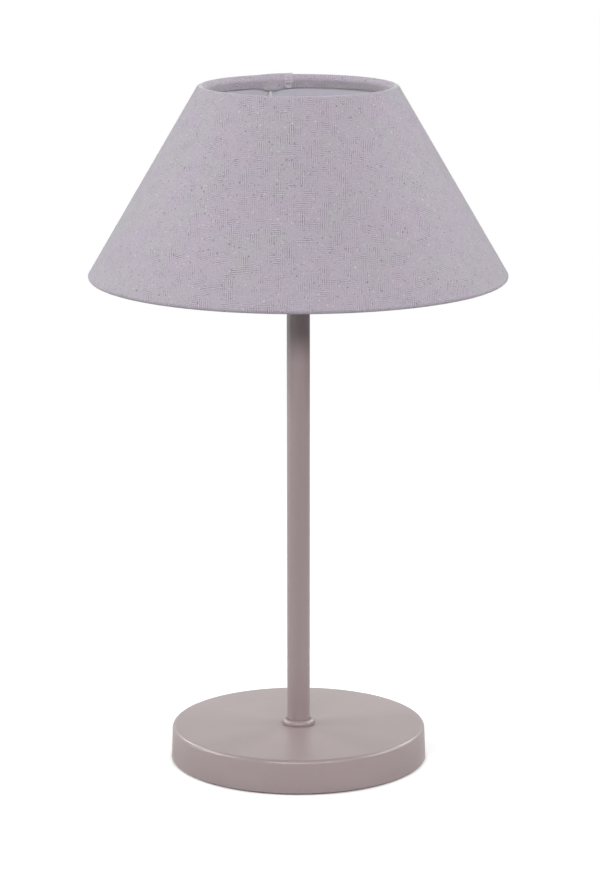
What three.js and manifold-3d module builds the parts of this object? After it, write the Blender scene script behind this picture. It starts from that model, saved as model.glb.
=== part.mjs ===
// A table lamp: a weighted round base, a slim stem, a small screw lampholder with its globe bulb,
// and a cloth cone shade on a wire spider. Millimetres, +Z up. The origin is the middle of the
// underside of the foot. The cord outlet and the seam of the shade are at the back, +Y.
import * as THREE from 'three';
import { mergeVertices } from 'three/addons/utils/BufferGeometryUtils.js';
import Module from 'manifold-3d';

const wasm = await Module();
wasm.setup();

// Clearances between pieces
const FIT = 0.3; // round a piece that sits in, or on, a curved one
const SEAT = 0.1; // under a flat face that rests on another

// Base
const BASE_RADIUS = 75;
const BASE_HEIGHT = 20.3;
const COVER_DRAFT = 0.7; // how much narrower the cover is at its top
const COVER_WALL = 1.2;
const COVER_EDGE = 2.2; // outside radius of the pressed edge
const COVER_LIFT = 0.8; // the rim hangs this far above the table
const PAD_THICKNESS = 2;
const PAD_INSET = 0.6;
const WEIGHT_INSET = 0.9;
const WEIGHT_WEB = 4;
const WEIGHT_RIM = 12;
const WEIGHT_SLANT = 3; // of the rim's inner face, where it meets the web
const WEIGHT_CHAMFER = 1.2;
const CORD_HEIGHT = 8.6; // of the outlet's axis above the table
const CORD_BORE = 3.3; // radius that a mains flex passes through
const BUSH_WALL = 1.1;
const BUSH_FLANGE_WIDTH = 1.8;
const BUSH_FLANGE_THICKNESS = 1.6;
const BUSH_TAIL = 2.4; // how far the bush runs on inside the cover
const BUSH_CHAMFER = 0.5;
const NOTCH_CLEARANCE = 0.9;

// Stem and the threaded rod that clamps it
const ROD_RADIUS = 5;
const ROD_BORE = 3.6;
const ROD_CLEARANCE = 0.7;
const ROD_TAIL = 1.2; // below the nut
const ROD_CHAMFER = 0.6;
const STEM_WALL = 1;
const STEM_LENGTH = 254; // from the top of the base
const COLLAR_WIDTH = 2.9; // beyond the stem
const COLLAR_HEIGHT = 2.8;
const COLLAR_FLOOR = 1.1;
const COLLAR_EDGE = 1.7;
const CAP_RIM = 1.5; // of the stem's cap, beyond the stem
const CAP_THICKNESS = 2.2;
const CAP_SPIGOT = 4;
const WASHER_WIDTH = 5;
const WASHER_THICKNESS = 1;
const NUT_ACROSS_FLATS = 15;
const NUT_HEIGHT = 4.5;

// Screw thread of the bulb and its shell: a rolled, wavy thread
const THREAD_RADIUS = 6.48; // mean, on the bulb
const THREAD_DEPTH = 0.74; // crest to root
const THREAD_PITCH = 2.822;
const THREAD_CLEARANCE = 0.26;
const SHELL_SHEET = 0.4;

// Lampholder
const BOSS_RADIUS = 8.6;
const BOSS_HEIGHT = 8;
const SHOULDER_HEIGHT = 6;
const HOLDER_CAP_HEIGHT = 22;
const HOLDER_CAP_WALL = 1.8;
const CAVITY_FLOOR = 2.2;
const ROD_REACH = 8.5; // of the rod's end above the foot of the lampholder
const SKIRT_HEIGHT = 32;
const SKIRT_GAP = 1.7; // between the inner sleeve and the skirt
const SKIRT_WALL = 2.6;
const SKIRT_CHAMFER = 1; // outside its rim
const MOUTH_CHAMFER = 0.5; // inside its rim
const SLEEVE_WALL = 1.4;
const SLEEVE_DROP = 5; // of the sleeve's mouth below the rim of the skirt
const SHELL_DROP = 1.5; // of the screw shell below the sleeve's mouth
const BLOCK_FLANGE = 2;
const BLOCK_LEDGE = 1.2; // width of the cap's ledge under the flange
const BLOCK_DEPTH = 6; // of the terminal block below its flange
const TIP_DEPTH = 20; // of the bulb's tip below the rim of the skirt
const CONTACT_ROOM = 3; // between the block's floor and the bulb's tip
const CONTACT_SHEET = 0.5;
const CONTACT_WIDTH = 4;
const CONTACT_END = 1; // from the fixed end to the sleeve
const CONTACT_FALL = 0.6; // of the free end below the crest
const TERMINAL_OFFSET = 5.4;
const TERMINAL_HEAD = 2.2;
const TERMINAL_HEAD_HEIGHT = 1.6;
const TERMINAL_SHANK = 1.2;
const TERMINAL_LENGTH = 5;
const GRUB_RADIUS = 1.5;
const GRUB_HEIGHT = 4.2; // above the foot of the lampholder
const RING_WIDTH = 6;
const RING_HEIGHT = 6.5;
const RING_FLUTE = 0.7;
const RING_FLUTES = 16;
const LOWER_RING_DEPTH = 15.5; // of the lower ring's top below the rim of the skirt

// Bulb
const TIP_RADIUS = 2.4;
const TIP_HEIGHT = 1;
const TIP_EDGE = 0.6;
const INSULATOR_HEIGHT = 2.6;
const INSULATOR_RIM = 0.5;
const INSULATOR_INSET = 0.2; // of its rim inside the thread's root
const INSULATOR_FOOT = 0.8; // beyond the tip
const BULB_SHELL_LENGTH = 13.6;
const BULB_SHELL_WALL = 0.5;
const BULB_NECK = 8.5; // radius of the housing just above the shell
const BULB_NECK_HEIGHT = 3;
const HOUSING_RADIUS = 17.2;
const HOUSING_HEIGHT = 21;
const NECK_FLARE = 1; // how far the housing widens on its way up to the flare
const RIM_FLARE = 1.5; // and how far it still widens above it
const GLOBE_RADIUS = 22.5;
const GLOBE_WALL = 1.2;
const GLOBE_INSET = 0.6; // of the globe's mouth inside the housing's edge
const BOARD_RADIUS = 13;
const BOARD_THICKNESS = 1.4;

// Shade
const SHADE_HEIGHT = 110.6;
const SHADE_TOP_RADIUS = 57.1; // where the slope meets the top plane
const SHADE_BOTTOM_RADIUS = 121.8; // where the slope meets the bottom plane
const FITTER_DROP = 82.2; // of the fitter's underside below the top of the shade
const CLOTH = 0.5;
const LINER = 0.5;
const TOP_WIRE = 1.5; // radius of the top ring's wire
const BOTTOM_WIRE = 0.8; // and of the bottom ring's
const ARM_WIRE = 1.1; // and of the arms'
const ARM_BEND = 6; // how far before a corner an arm's bend begins
const ARM_FOOT = 8; // level end of an arm, beside the fitter
const HEM = 8; // of the turned-in cloth, below the ring's middle
const FITTER_CLEARANCE = 0.7;
const FITTER_WIDTH = 8;
const FITTER_THICKNESS = 2;
const SEAM_WIDTH = 10.4;
const SEAM_EDGE = 2; // how far left of the middle of the back the seam starts
const SEAM_LAP = 0.5; // thickness that the lapped cloth adds
const TAPE = 0.35;
const ARM_COUNT = 3;
const ARM_ANGLE = 105.6; // of the arm beside the seam, in degrees from +X

// Fineness of the curved faces
const SHADE_STEPS = 48;
const BASE_STEPS = 48;
const ROUND_STEPS = 24;
const SMALL_STEPS = 16;
const SCREW_STEPS = 12;
const ARC_STEPS = 4;
const INNER_ARC_STEPS = 3;
const THREAD_STEPS = 16; // round the thread
const THREAD_RINGS = 5; // in one turn of the thread
const FLUTE_STEPS = 3; // in one flute
const DOME_STEPS = 10;
const HOLLOW_STEPS = 6;
const FLARE_STEPS = 6;
const SPRING_STEPS = 12;
const WIRE_SIDES = 5;
const ARM_STEPS = 18;
const ARM_SIDES = 6;

// How far a cutting tool runs past what it cuts
const OVERRUN = 10;

// Radii that follow from the ones above, from the rod outwards
const rodHole = ROD_RADIUS + FIT;
const stemBore = ROD_RADIUS + ROD_CLEARANCE;
const stemRadius = stemBore + STEM_WALL;
const shellRadius = THREAD_RADIUS + THREAD_CLEARANCE;
const sleeveBore = shellRadius + SHELL_SHEET + THREAD_DEPTH / 2 + FIT;
const sleeveRadius = sleeveBore + SLEEVE_WALL;
const skirtBore = sleeveRadius + SKIRT_GAP;
const skirtRadius = skirtBore + SKIRT_WALL;
const holderCapBore = skirtRadius - HOLDER_CAP_WALL;
const ringBore = skirtRadius + FIT;
const ringRadius = ringBore + RING_WIDTH;
const fitterBore = skirtRadius + FITTER_CLEARANCE;
const fitterRadius = fitterBore + FITTER_WIDTH;

// Heights that follow, from the table upwards
const coverCeiling = BASE_HEIGHT - COVER_WALL;
const webTop = coverCeiling - SEAT;
const webFoot = webTop - WEIGHT_WEB;
const washerFoot = webFoot - SEAT - WASHER_THICKNESS;
const nutFoot = washerFoot - SEAT - NUT_HEIGHT;
const stemTop = BASE_HEIGHT + STEM_LENGTH;
const holderFoot = stemTop + SEAT + CAP_THICKNESS + SEAT;
const holderCapTop = holderFoot + HOLDER_CAP_HEIGHT;
const skirtFoot = holderCapTop + SEAT;
const skirtRim = skirtFoot + SKIRT_HEIGHT;
const sleeveMouth = skirtRim - SLEEVE_DROP;
const bulbTip = skirtRim - TIP_DEPTH;
const blockFloor = bulbTip - CONTACT_ROOM;
const bulbShellFoot = bulbTip + TIP_HEIGHT + INSULATOR_HEIGHT + 2 * SEAT;
const bulbShellTop = bulbShellFoot + BULB_SHELL_LENGTH;
const lowerRingTop = skirtRim - LOWER_RING_DEPTH;
const fitterFoot = lowerRingTop + FIT;
const fitterTop = fitterFoot + FITTER_THICKNESS;
const shadeTop = fitterFoot + FITTER_DROP;
const shadeFoot = shadeTop - SHADE_HEIGHT;

// The slope of the shade, in the plane of radius and height
const slope = Math.atan2(SHADE_BOTTOM_RADIUS - SHADE_TOP_RADIUS, SHADE_HEIGHT);
const up = new THREE.Vector2(-Math.sin(slope), Math.cos(slope));
const out = new THREE.Vector2(Math.cos(slope), Math.sin(slope));

// A fold of the cloth round a wire ring. It touches the slope and the plane that a corner of the
// shade lies on, above the fold where side is 1 and below it where side is -1.
function foldIn(corner, side, wire, bore) {
  const radius = bore + CLOTH;
  const centre = new THREE.Vector2(
    corner.x + side * radius * Math.tan(slope) - radius / Math.cos(slope),
    corner.y - side * radius,
  );
  return { centre, wire, bore, radius };
}

// The top fold is as wide as its ring, or as the liner and an arm side by side.
const topFold = foldIn(
  new THREE.Vector2(SHADE_TOP_RADIUS, shadeTop),
  1,
  TOP_WIRE,
  Math.max(TOP_WIRE + FIT, ARM_WIRE + FIT + (LINER + FIT) / 2),
);
const bottomFold = foldIn(
  new THREE.Vector2(SHADE_BOTTOM_RADIUS, shadeFoot),
  -1,
  BOTTOM_WIRE,
  BOTTOM_WIRE + FIT,
);

// Finishes
function finish(color, roughness, metalness = 0) {
  return new THREE.MeshStandardMaterial({ color, roughness, metalness });
}
const paint = finish(0xa79a97, 0.42);
const castIron = finish(0x4c4b4a, 0.8, 0.6);
const zinc = finish(0xb9bbbd, 0.35, 1);
const brass = finish(0xc9a659, 0.3, 1);
const nickel = finish(0xc4c2bd, 0.28, 1);
const felt = finish(0x2b2a2b, 0.95);
const blackPlastic = finish(0x1c1c1d, 0.5);
const whitePlastic = finish(0xe6e3dc, 0.45);
const glassInsulator = finish(0x1a1820, 0.2);
const board = finish(0xd9d9d6, 0.5);
const opal = finish(0xf3f1ec, 0.35);
const cloth = finish(0xb5adb9, 0.9);
const liner = finish(0xe9e6ea, 0.55);
const whiteWire = finish(0xe2e0de, 0.4);

const lamp = new THREE.Group();
lamp.name = 'table_lamp';

// Adds one named piece to the lamp.
function add(name, geometry, material) {
  const mesh = new THREE.Mesh(geometry, material);
  mesh.name = name;
  lamp.add(mesh);
}

// Points of an arc in the plane of radius and height, its angles in radians from the radius axis.
function arc(centre, radius, from, to, steps = ARC_STEPS) {
  return Array.from({ length: steps + 1 }, (_, i) => {
    const angle = from + ((to - from) * i) / steps;
    return [centre.x + radius * Math.cos(angle), centre.y + radius * Math.sin(angle)];
  });
}

// Turns an outline of [radius, height] points about Z. It is closed, or starts and ends on the axis.
function revolve(outline, steps = ROUND_STEPS) {
  const points = outline.map(([radius, height]) => new THREE.Vector2(radius, height));
  if (THREE.ShapeUtils.area(points) < 0) points.reverse();
  const onAxis = points[0].x === 0 && points.at(-1).x === 0;
  if (!onAxis) points.push(points[0].clone());
  return new THREE.LatheGeometry(points, steps).rotateX(Math.PI / 2);
}

// A ring of rectangular section.
function ring(bore, radius, foot, top, steps = ROUND_STEPS) {
  return revolve([[bore, foot], [radius, foot], [radius, top], [bore, top]], steps);
}

// A plain cylinder along Z.
function disc(radius, foot, top, steps = ROUND_STEPS) {
  return revolve([[0, foot], [radius, foot], [radius, top], [0, top]], steps);
}

function box(low, high) {
  const size = high.map((value, i) => value - low[i]);
  const middle = high.map((value, i) => (value + low[i]) / 2);
  return new THREE.BoxGeometry(...size).translate(...middle);
}

// A closed geometry as a solid that can be cut and joined.
function solid(geometry) {
  const bare = new THREE.BufferGeometry();
  bare.setAttribute('position', geometry.getAttribute('position'));
  bare.setIndex(geometry.getIndex());
  const merged = mergeVertices(bare, 1e-4);
  return new wasm.Manifold(new wasm.Mesh({
    numProp: 3,
    vertProperties: merged.getAttribute('position').array,
    triVerts: new Uint32Array(merged.getIndex().array),
  }));
}

function geometryOf(body) {
  const mesh = body.getMesh();
  const geometry = new THREE.BufferGeometry();
  geometry.setAttribute('position', new THREE.BufferAttribute(mesh.vertProperties, 3));
  geometry.setIndex(new THREE.BufferAttribute(mesh.triVerts, 1));
  geometry.computeVertexNormals();
  return geometry;
}

function cut(geometry, ...tools) {
  return geometryOf(tools.reduce((left, tool) => left.subtract(solid(tool)), solid(geometry)));
}

// Base

function makeBaseCover() {
  const shoulder = BASE_RADIUS - COVER_DRAFT;
  const corner = new THREE.Vector2(shoulder - COVER_EDGE, BASE_HEIGHT - COVER_EDGE);
  const pressed = revolve([
    [BASE_RADIUS, COVER_LIFT],
    ...arc(corner, COVER_EDGE, 0, Math.PI / 2),
    [rodHole, BASE_HEIGHT],
    [rodHole, coverCeiling],
    ...arc(corner, COVER_EDGE - COVER_WALL, Math.PI / 2, 0, INNER_ARC_STEPS),
    [BASE_RADIUS - COVER_WALL, COVER_LIFT],
  ], BASE_STEPS);
  const hole = CORD_BORE + BUSH_WALL + FIT;
  const drill = new THREE.CylinderGeometry(hole, hole, 2 * OVERRUN, SMALL_STEPS)
    .translate(0, BASE_RADIUS, CORD_HEIGHT);
  add('base_cover', cut(pressed, drill), paint);
}


function makeBaseWeight() {
  const radius = BASE_RADIUS - COVER_DRAFT - COVER_WALL - WEIGHT_INSET;
  const rimBore = radius - WEIGHT_RIM;
  const rimFoot = PAD_THICKNESS + SEAT;
  const casting = revolve([
    [rodHole, webTop],
    [radius - WEIGHT_CHAMFER, webTop],
    [radius, webTop - WEIGHT_CHAMFER],
    [radius, rimFoot],
    [rimBore, rimFoot],
    [rimBore - WEIGHT_SLANT, webFoot],
    [rodHole, webFoot],
  ], BASE_STEPS);
  const half = CORD_BORE + BUSH_WALL + NOTCH_CLEARANCE;
  const low = [-half, rimBore - OVERRUN, 0];
  const high = [half, radius + OVERRUN, CORD_HEIGHT + half];
  add('base_weight', cut(casting, box(low, high)), castIron);
}

function makeFeltPad() {
  const radius = BASE_RADIUS - COVER_WALL - PAD_INSET;
  add('felt_pad', disc(radius, 0, PAD_THICKNESS, BASE_STEPS), felt);
}

// A bush with a flange outside the cover and a barb inside it. It is turned about Z and laid along +Y.
function makeCordBush() {
  const neck = CORD_BORE + BUSH_WALL;
  const flange = neck + BUSH_FLANGE_WIDTH;
  const wallOuter = BASE_RADIUS + FIT;
  const wallInner = BASE_RADIUS - COVER_DRAFT - COVER_WALL - FIT;
  const lip = new THREE.Vector2(
    flange - BUSH_FLANGE_THICKNESS / 2,
    wallOuter + BUSH_FLANGE_THICKNESS / 2,
  );
  const bush = revolve([
    [CORD_BORE, wallInner - BUSH_TAIL],
    [neck, wallInner - BUSH_TAIL],
    [neck + FIT, wallInner],
    [neck, wallInner],
    [neck, wallOuter],
    ...arc(lip, BUSH_FLANGE_THICKNESS / 2, -Math.PI / 2, Math.PI / 2),
    [CORD_BORE + BUSH_CHAMFER, wallOuter + BUSH_FLANGE_THICKNESS],
    [CORD_BORE, wallOuter + BUSH_FLANGE_THICKNESS - BUSH_CHAMFER],
  ], SMALL_STEPS);
  add('cord_bush', bush.rotateX(-Math.PI / 2).translate(0, 0, CORD_HEIGHT), blackPlastic);
}

function makeBaseNut() {
  const corner = NUT_ACROSS_FLATS / Math.sqrt(3);
  const hexagon = new THREE.CylinderGeometry(corner, corner, NUT_HEIGHT, 6)
    .rotateX(Math.PI / 2)
    .translate(0, 0, nutFoot + NUT_HEIGHT / 2);
  add('base_nut', cut(hexagon, disc(rodHole, nutFoot - OVERRUN, washerFoot + OVERRUN)), zinc);
  const washerTop = washerFoot + WASHER_THICKNESS;
  add('base_washer', ring(rodHole, rodHole + WASHER_WIDTH, washerFoot, washerTop), zinc);
}

// Stem

function makeStem() {
  const collarFoot = BASE_HEIGHT + SEAT;
  const collarTop = collarFoot + COLLAR_HEIGHT;
  const socket = stemRadius + FIT;
  const collarRadius = stemRadius + COLLAR_WIDTH;
  const edge = new THREE.Vector2(collarRadius - COLLAR_EDGE, collarTop - COLLAR_EDGE);
  add('stem_collar', revolve([
    [rodHole, collarFoot],
    [collarRadius, collarFoot],
    ...arc(edge, COLLAR_EDGE, 0, Math.PI / 2),
    [socket, collarTop],
    [socket, collarFoot + COLLAR_FLOOR],
    [rodHole, collarFoot + COLLAR_FLOOR],
  ]), paint);
  add('stem_tube', ring(stemBore, stemRadius, collarFoot + COLLAR_FLOOR + SEAT, stemTop), paint);

  const rodFoot = nutFoot - ROD_TAIL;
  const rodTop = holderFoot + ROD_REACH;
  add('threaded_rod', revolve([
    [ROD_BORE, rodFoot],
    [ROD_RADIUS - ROD_CHAMFER, rodFoot],
    [ROD_RADIUS, rodFoot + ROD_CHAMFER],
    [ROD_RADIUS, rodTop - ROD_CHAMFER],
    [ROD_RADIUS - ROD_CHAMFER, rodTop],
    [ROD_BORE, rodTop],
  ], SMALL_STEPS), zinc);

  const capFoot = stemTop + SEAT;
  const capRadius = stemRadius + CAP_RIM;
  const capEdge = new THREE.Vector2(capRadius - CAP_THICKNESS / 2, capFoot + CAP_THICKNESS / 2);
  add('stem_cap', revolve([
    [rodHole, stemTop - CAP_SPIGOT],
    [stemBore - FIT / 2, stemTop - CAP_SPIGOT],
    [stemBore - FIT / 2, capFoot],
    ...arc(capEdge, CAP_THICKNESS / 2, -Math.PI / 2, Math.PI / 2),
    [rodHole, capFoot + CAP_THICKNESS],
  ]), paint);
}

// Lampholder

function makeHolderCap() {
  const shoulderTop = holderFoot + BOSS_HEIGHT + SHOULDER_HEIGHT;
  const floor = holderFoot + ROD_REACH + CAVITY_FLOOR;
  const ledge = holderCapTop - BLOCK_FLANGE - SEAT;
  const shell = revolve([
    [rodHole, holderFoot],
    [BOSS_RADIUS, holderFoot],
    [BOSS_RADIUS, holderFoot + BOSS_HEIGHT],
    [skirtRadius, shoulderTop],
    [skirtRadius, holderCapTop],
    [holderCapBore, holderCapTop],
    [holderCapBore, ledge],
    [holderCapBore - BLOCK_LEDGE, ledge],
    [holderCapBore - BLOCK_LEDGE, shoulderTop],
    [BOSS_RADIUS - HOLDER_CAP_WALL, floor],
    [rodHole, floor],
  ]);
  const hole = GRUB_RADIUS + FIT;
  const drill = new THREE.CylinderGeometry(hole, hole, OVERRUN, SCREW_STEPS)
    .translate(0, -OVERRUN / 2 - ROD_BORE, holderFoot + GRUB_HEIGHT);
  add('holder_cap', cut(shell, drill), whitePlastic);
  const length = BOSS_RADIUS - rodHole;
  const grub = new THREE.CylinderGeometry(GRUB_RADIUS, GRUB_RADIUS, length, SCREW_STEPS)
    .translate(0, -rodHole - length / 2, holderFoot + GRUB_HEIGHT);
  add('grub_screw', grub, zinc);
}

function makeHolderSkirt() {
  add('holder_skirt', revolve([
    [skirtBore, skirtFoot],
    [skirtRadius, skirtFoot],
    [skirtRadius, skirtRim - SKIRT_CHAMFER],
    [skirtRadius - SKIRT_CHAMFER, skirtRim],
    [skirtBore + MOUTH_CHAMFER, skirtRim],
    [skirtBore, skirtRim - MOUTH_CHAMFER],
  ]), whitePlastic);
}

// The insulating block that carries the contacts. Its flange is held between the cap's ledge and
// the skirt.
function makeTerminalBlock() {
  const flangeFoot = holderCapTop - BLOCK_FLANGE;
  const foot = flangeFoot - BLOCK_DEPTH;
  const body = revolve([
    [0, foot],
    [sleeveRadius, foot],
    [sleeveRadius, flangeFoot],
    [holderCapBore - FIT, flangeFoot],
    [holderCapBore - FIT, holderCapTop],
    [sleeveRadius, holderCapTop],
    [sleeveRadius, sleeveMouth],
    [sleeveBore, sleeveMouth],
    [sleeveBore, blockFloor],
    [0, blockFloor],
  ]);
  const hole = disc(TERMINAL_SHANK + FIT, foot - OVERRUN, foot + TERMINAL_LENGTH + FIT, SCREW_STEPS);
  const holes = [-1, 1].map((side) => hole.clone().translate(side * TERMINAL_OFFSET, 0, 0));
  add('terminal_block', cut(body, ...holes), whitePlastic);
  const headTop = foot - SEAT;
  [-1, 1].forEach((side) => {
    const screw = revolve([
      [0, headTop - TERMINAL_HEAD_HEIGHT],
      [TERMINAL_HEAD, headTop - TERMINAL_HEAD_HEIGHT],
      [TERMINAL_HEAD, headTop],
      [TERMINAL_SHANK, headTop],
      [TERMINAL_SHANK, headTop + TERMINAL_LENGTH],
      [0, headTop + TERMINAL_LENGTH],
    ], SCREW_STEPS).translate(side * TERMINAL_OFFSET, 0, 0);
    add(side < 0 ? 'terminal_screw_left' : 'terminal_screw_right', screw, brass);
  });
}

// Radius of the thread's wave at a height and angle, about a mean radius. It runs up as it turns
// to the left, so that a piece turned anticlockwise from above unscrews and rises.
function threadWave(mean, height, angle, share, side) {
  const phase = (2 * Math.PI * (height - bulbTip)) / THREAD_PITCH - angle;
  return mean + (THREAD_DEPTH / 2) * (share * Math.cos(phase) + side * (1 - share));
}

// Heights of the rows of a threaded face, evenly spaced.
function threadRows(foot, top) {
  const count = Math.round(((top - foot) / THREAD_PITCH) * THREAD_RINGS);
  return Array.from({ length: count + 1 }, (_, i) => foot + ((top - foot) * i) / count);
}

// A sleeve with a row of points at each height, up its outside and then down its inside. Each face
// has a radius that is a function of height and angle.
function sleeve(outerHeights, outer, innerHeights, inner) {
  const rows = [
    ...outerHeights.map((height) => [outer, height]),
    ...innerHeights.toReversed().map((height) => [inner, height]),
  ];
  const positions = [];
  const index = [];
  rows.forEach(([radius, height], row) => {
    const next = (row + 1) % rows.length;
    for (let i = 0; i < THREAD_STEPS; i += 1) {
      const angle = (2 * Math.PI * i) / THREAD_STEPS;
      const reach = radius(height, angle);
      positions.push(reach * Math.cos(angle), reach * Math.sin(angle), height);
      const j = (i + 1) % THREAD_STEPS;
      const [a, b] = [row * THREAD_STEPS + i, row * THREAD_STEPS + j];
      const [c, d] = [next * THREAD_STEPS + i, next * THREAD_STEPS + j];
      index.push(a, b, d, a, d, c);
    }
  });
  const geometry = new THREE.BufferGeometry();
  geometry.setAttribute('position', new THREE.Float32BufferAttribute(positions, 3));
  geometry.setIndex(index);
  return geometry;
}

// How far the thread has grown from a sleeve's end, over one pitch.
function runIn(distance) {
  return THREE.MathUtils.clamp(distance / THREAD_PITCH, 0, 1);
}

function makeScrewShell() {
  const foot = blockFloor + SEAT;
  const threadFoot = bulbShellFoot - THREAD_PITCH;
  const heights = [foot, ...threadRows(threadFoot, sleeveMouth - SHELL_DROP)];
  const wave = (mean) => (height, angle) => threadWave(mean, height, angle, runIn(height - threadFoot), 1);
  const shell = sleeve(heights, wave(shellRadius + SHELL_SHEET), heights, wave(shellRadius));
  add('screw_shell', shell, nickel);
}

// A leaf spring fixed to the floor of the block. Its free end stands under the bulb's tip.
function makeCentreContact() {
  const floor = blockFloor + SEAT + CONTACT_SHEET / 2;
  const crest = bulbTip - FIT - CONTACT_SHEET / 2;
  const reach = sleeveBore - 2 * FIT - SHELL_SHEET - THREAD_DEPTH;
  const line = new THREE.CatmullRomCurve3([
    new THREE.Vector3(CONTACT_END - reach, 0, floor),
    new THREE.Vector3(-reach / 2, 0, floor),
    new THREE.Vector3(0, 0, crest),
    new THREE.Vector3(TIP_RADIUS, 0, crest - CONTACT_FALL),
  ], false, 'centripetal');
  const strip = new THREE.Shape([
    new THREE.Vector2(-CONTACT_WIDTH / 2, -CONTACT_SHEET / 2),
    new THREE.Vector2(CONTACT_WIDTH / 2, -CONTACT_SHEET / 2),
    new THREE.Vector2(CONTACT_WIDTH / 2, CONTACT_SHEET / 2),
    new THREE.Vector2(-CONTACT_WIDTH / 2, CONTACT_SHEET / 2),
  ]);
  add('centre_contact', new THREE.ExtrudeGeometry(strip, { steps: SPRING_STEPS, extrudePath: line }), brass);
}

// A fluted ring nut on the skirt. Two of them clamp the shade's fitter.
function makeShadeRing(name, foot) {
  const outline = new THREE.Shape();
  const count = RING_FLUTES * FLUTE_STEPS;
  for (let i = 0; i < count; i += 1) {
    const angle = (2 * Math.PI * i) / count;
    const radius = ringRadius - (RING_FLUTE / 2) * (1 - Math.cos(RING_FLUTES * angle));
    outline[i ? 'lineTo' : 'moveTo'](radius * Math.cos(angle), radius * Math.sin(angle));
  }
  const bore = new THREE.Path().absarc(0, 0, ringBore, 0, 2 * Math.PI, true);
  outline.holes.push(bore);
  const body = new THREE.ExtrudeGeometry(outline, {
    depth: RING_HEIGHT,
    bevelEnabled: false,
    curveSegments: ROUND_STEPS,
  });
  add(name, body.translate(0, 0, foot), whitePlastic);
}

// Bulb

function makeBulb() {
  add('bulb_contact', revolve([
    [0, bulbTip],
    [TIP_RADIUS - TIP_EDGE, bulbTip],
    [TIP_RADIUS, bulbTip + TIP_EDGE],
    [TIP_RADIUS, bulbTip + TIP_HEIGHT],
    [0, bulbTip + TIP_HEIGHT],
  ], SMALL_STEPS), nickel);

  const root = THREAD_RADIUS - THREAD_DEPTH / 2;
  const coneFoot = bulbTip + TIP_HEIGHT + SEAT;
  add('bulb_insulator', revolve([
    [0, coneFoot],
    [TIP_RADIUS + INSULATOR_FOOT, coneFoot],
    [root - INSULATOR_INSET, coneFoot + INSULATOR_HEIGHT - INSULATOR_RIM],
    [root - INSULATOR_INSET, coneFoot + INSULATOR_HEIGHT],
    [0, coneFoot + INSULATOR_HEIGHT],
  ], SMALL_STEPS), glassInsulator);

  const wave = (height, angle) => threadWave(
    THREAD_RADIUS,
    height,
    angle,
    Math.min(runIn(height - bulbShellFoot), runIn(bulbShellTop - height)),
    -1,
  );
  const bore = root - BULB_SHELL_WALL;
  const ends = [bulbShellFoot, bulbShellTop];
  add('bulb_shell', sleeve(threadRows(...ends), wave, ends, () => bore), nickel);

  const neckFoot = bulbShellTop + SEAT;
  const neckTop = neckFoot + BULB_NECK_HEIGHT;
  const housingTop = neckTop + HOUSING_HEIGHT;
  const flare = new THREE.CubicBezierCurve(
    new THREE.Vector2(BULB_NECK, neckTop),
    new THREE.Vector2(BULB_NECK + NECK_FLARE, neckTop + HOUSING_HEIGHT / 2),
    new THREE.Vector2(HOUSING_RADIUS - RIM_FLARE, neckTop + HOUSING_HEIGHT / 2),
    new THREE.Vector2(HOUSING_RADIUS, housingTop),
  ).getPoints(FLARE_STEPS).map((p) => [p.x, p.y]);
  add('bulb_housing', revolve([
    [0, bulbShellFoot + SEAT],
    [bore - FIT, bulbShellFoot + SEAT],
    [bore - FIT, neckFoot],
    [BULB_NECK, neckFoot],
    ...flare,
    [0, housingTop],
  ]), whitePlastic);

  const boardFoot = housingTop + SEAT;
  add('led_board', disc(BOARD_RADIUS, boardFoot, boardFoot + BOARD_THICKNESS, SMALL_STEPS), board);

  // The globe stands on the housing with its mouth just inside the housing's edge.
  const globeFoot = housingTop + SEAT;
  const mouth = Math.acos((HOUSING_RADIUS - GLOBE_INSET) / GLOBE_RADIUS);
  const middle = new THREE.Vector2(0, globeFoot + GLOBE_RADIUS * Math.sin(mouth));
  const inner = GLOBE_RADIUS - GLOBE_WALL;
  const innerMouth = Math.asin((middle.y - globeFoot) / inner);
  const dome = arc(middle, GLOBE_RADIUS, -mouth, Math.PI / 2, DOME_STEPS);
  const hollow = arc(middle, inner, -innerMouth, Math.PI / 2, HOLLOW_STEPS);
  dome.at(-1)[0] = 0;
  hollow.at(-1)[0] = 0;
  add('bulb_globe', revolve([...hollow.toReversed(), ...dome]), opal);
}

// Shade

// Point of the shade's section at a distance up the slope and out from the middle of a fold.
function section(fold, along, outwards) {
  return [
    fold.centre.x + up.x * along + out.x * outwards,
    fold.centre.y + up.y * along + out.y * outwards,
  ];
}

// The cloth's section: up the slope, over each ring and back inside as a hem.
function clothOutline(lap) {
  const half = Math.PI;
  return [
    section(topFold, -HEM, -topFold.radius - lap),
    ...arc(topFold.centre, topFold.radius + lap, slope + half, slope),
    ...arc(bottomFold.centre, bottomFold.radius + lap, slope + 2 * half, slope + half),
    section(bottomFold, HEM, -bottomFold.radius - lap),
    section(bottomFold, HEM, -bottomFold.bore),
    ...arc(bottomFold.centre, bottomFold.bore, slope + half, slope + 2 * half, INNER_ARC_STEPS),
    ...arc(topFold.centre, topFold.bore, slope, slope + half, INNER_ARC_STEPS),
    section(topFold, -HEM, -topFold.bore),
  ];
}

// The room that the seam takes up at the back of the shade.
function seamRoom() {
  const low = [-SEAM_EDGE - SEAM_WIDTH, 0, shadeFoot - OVERRUN];
  const high = [-SEAM_EDGE, SHADE_BOTTOM_RADIUS + OVERRUN, shadeTop + OVERRUN];
  return solid(box(low, high));
}

function makeShadeCloth() {
  const plain = solid(revolve(clothOutline(0), SHADE_STEPS));
  const lapped = solid(revolve(clothOutline(SEAM_LAP), SHADE_STEPS));
  add('shade_cloth', geometryOf(plain.add(lapped.intersect(seamRoom()))), cloth);
}

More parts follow.
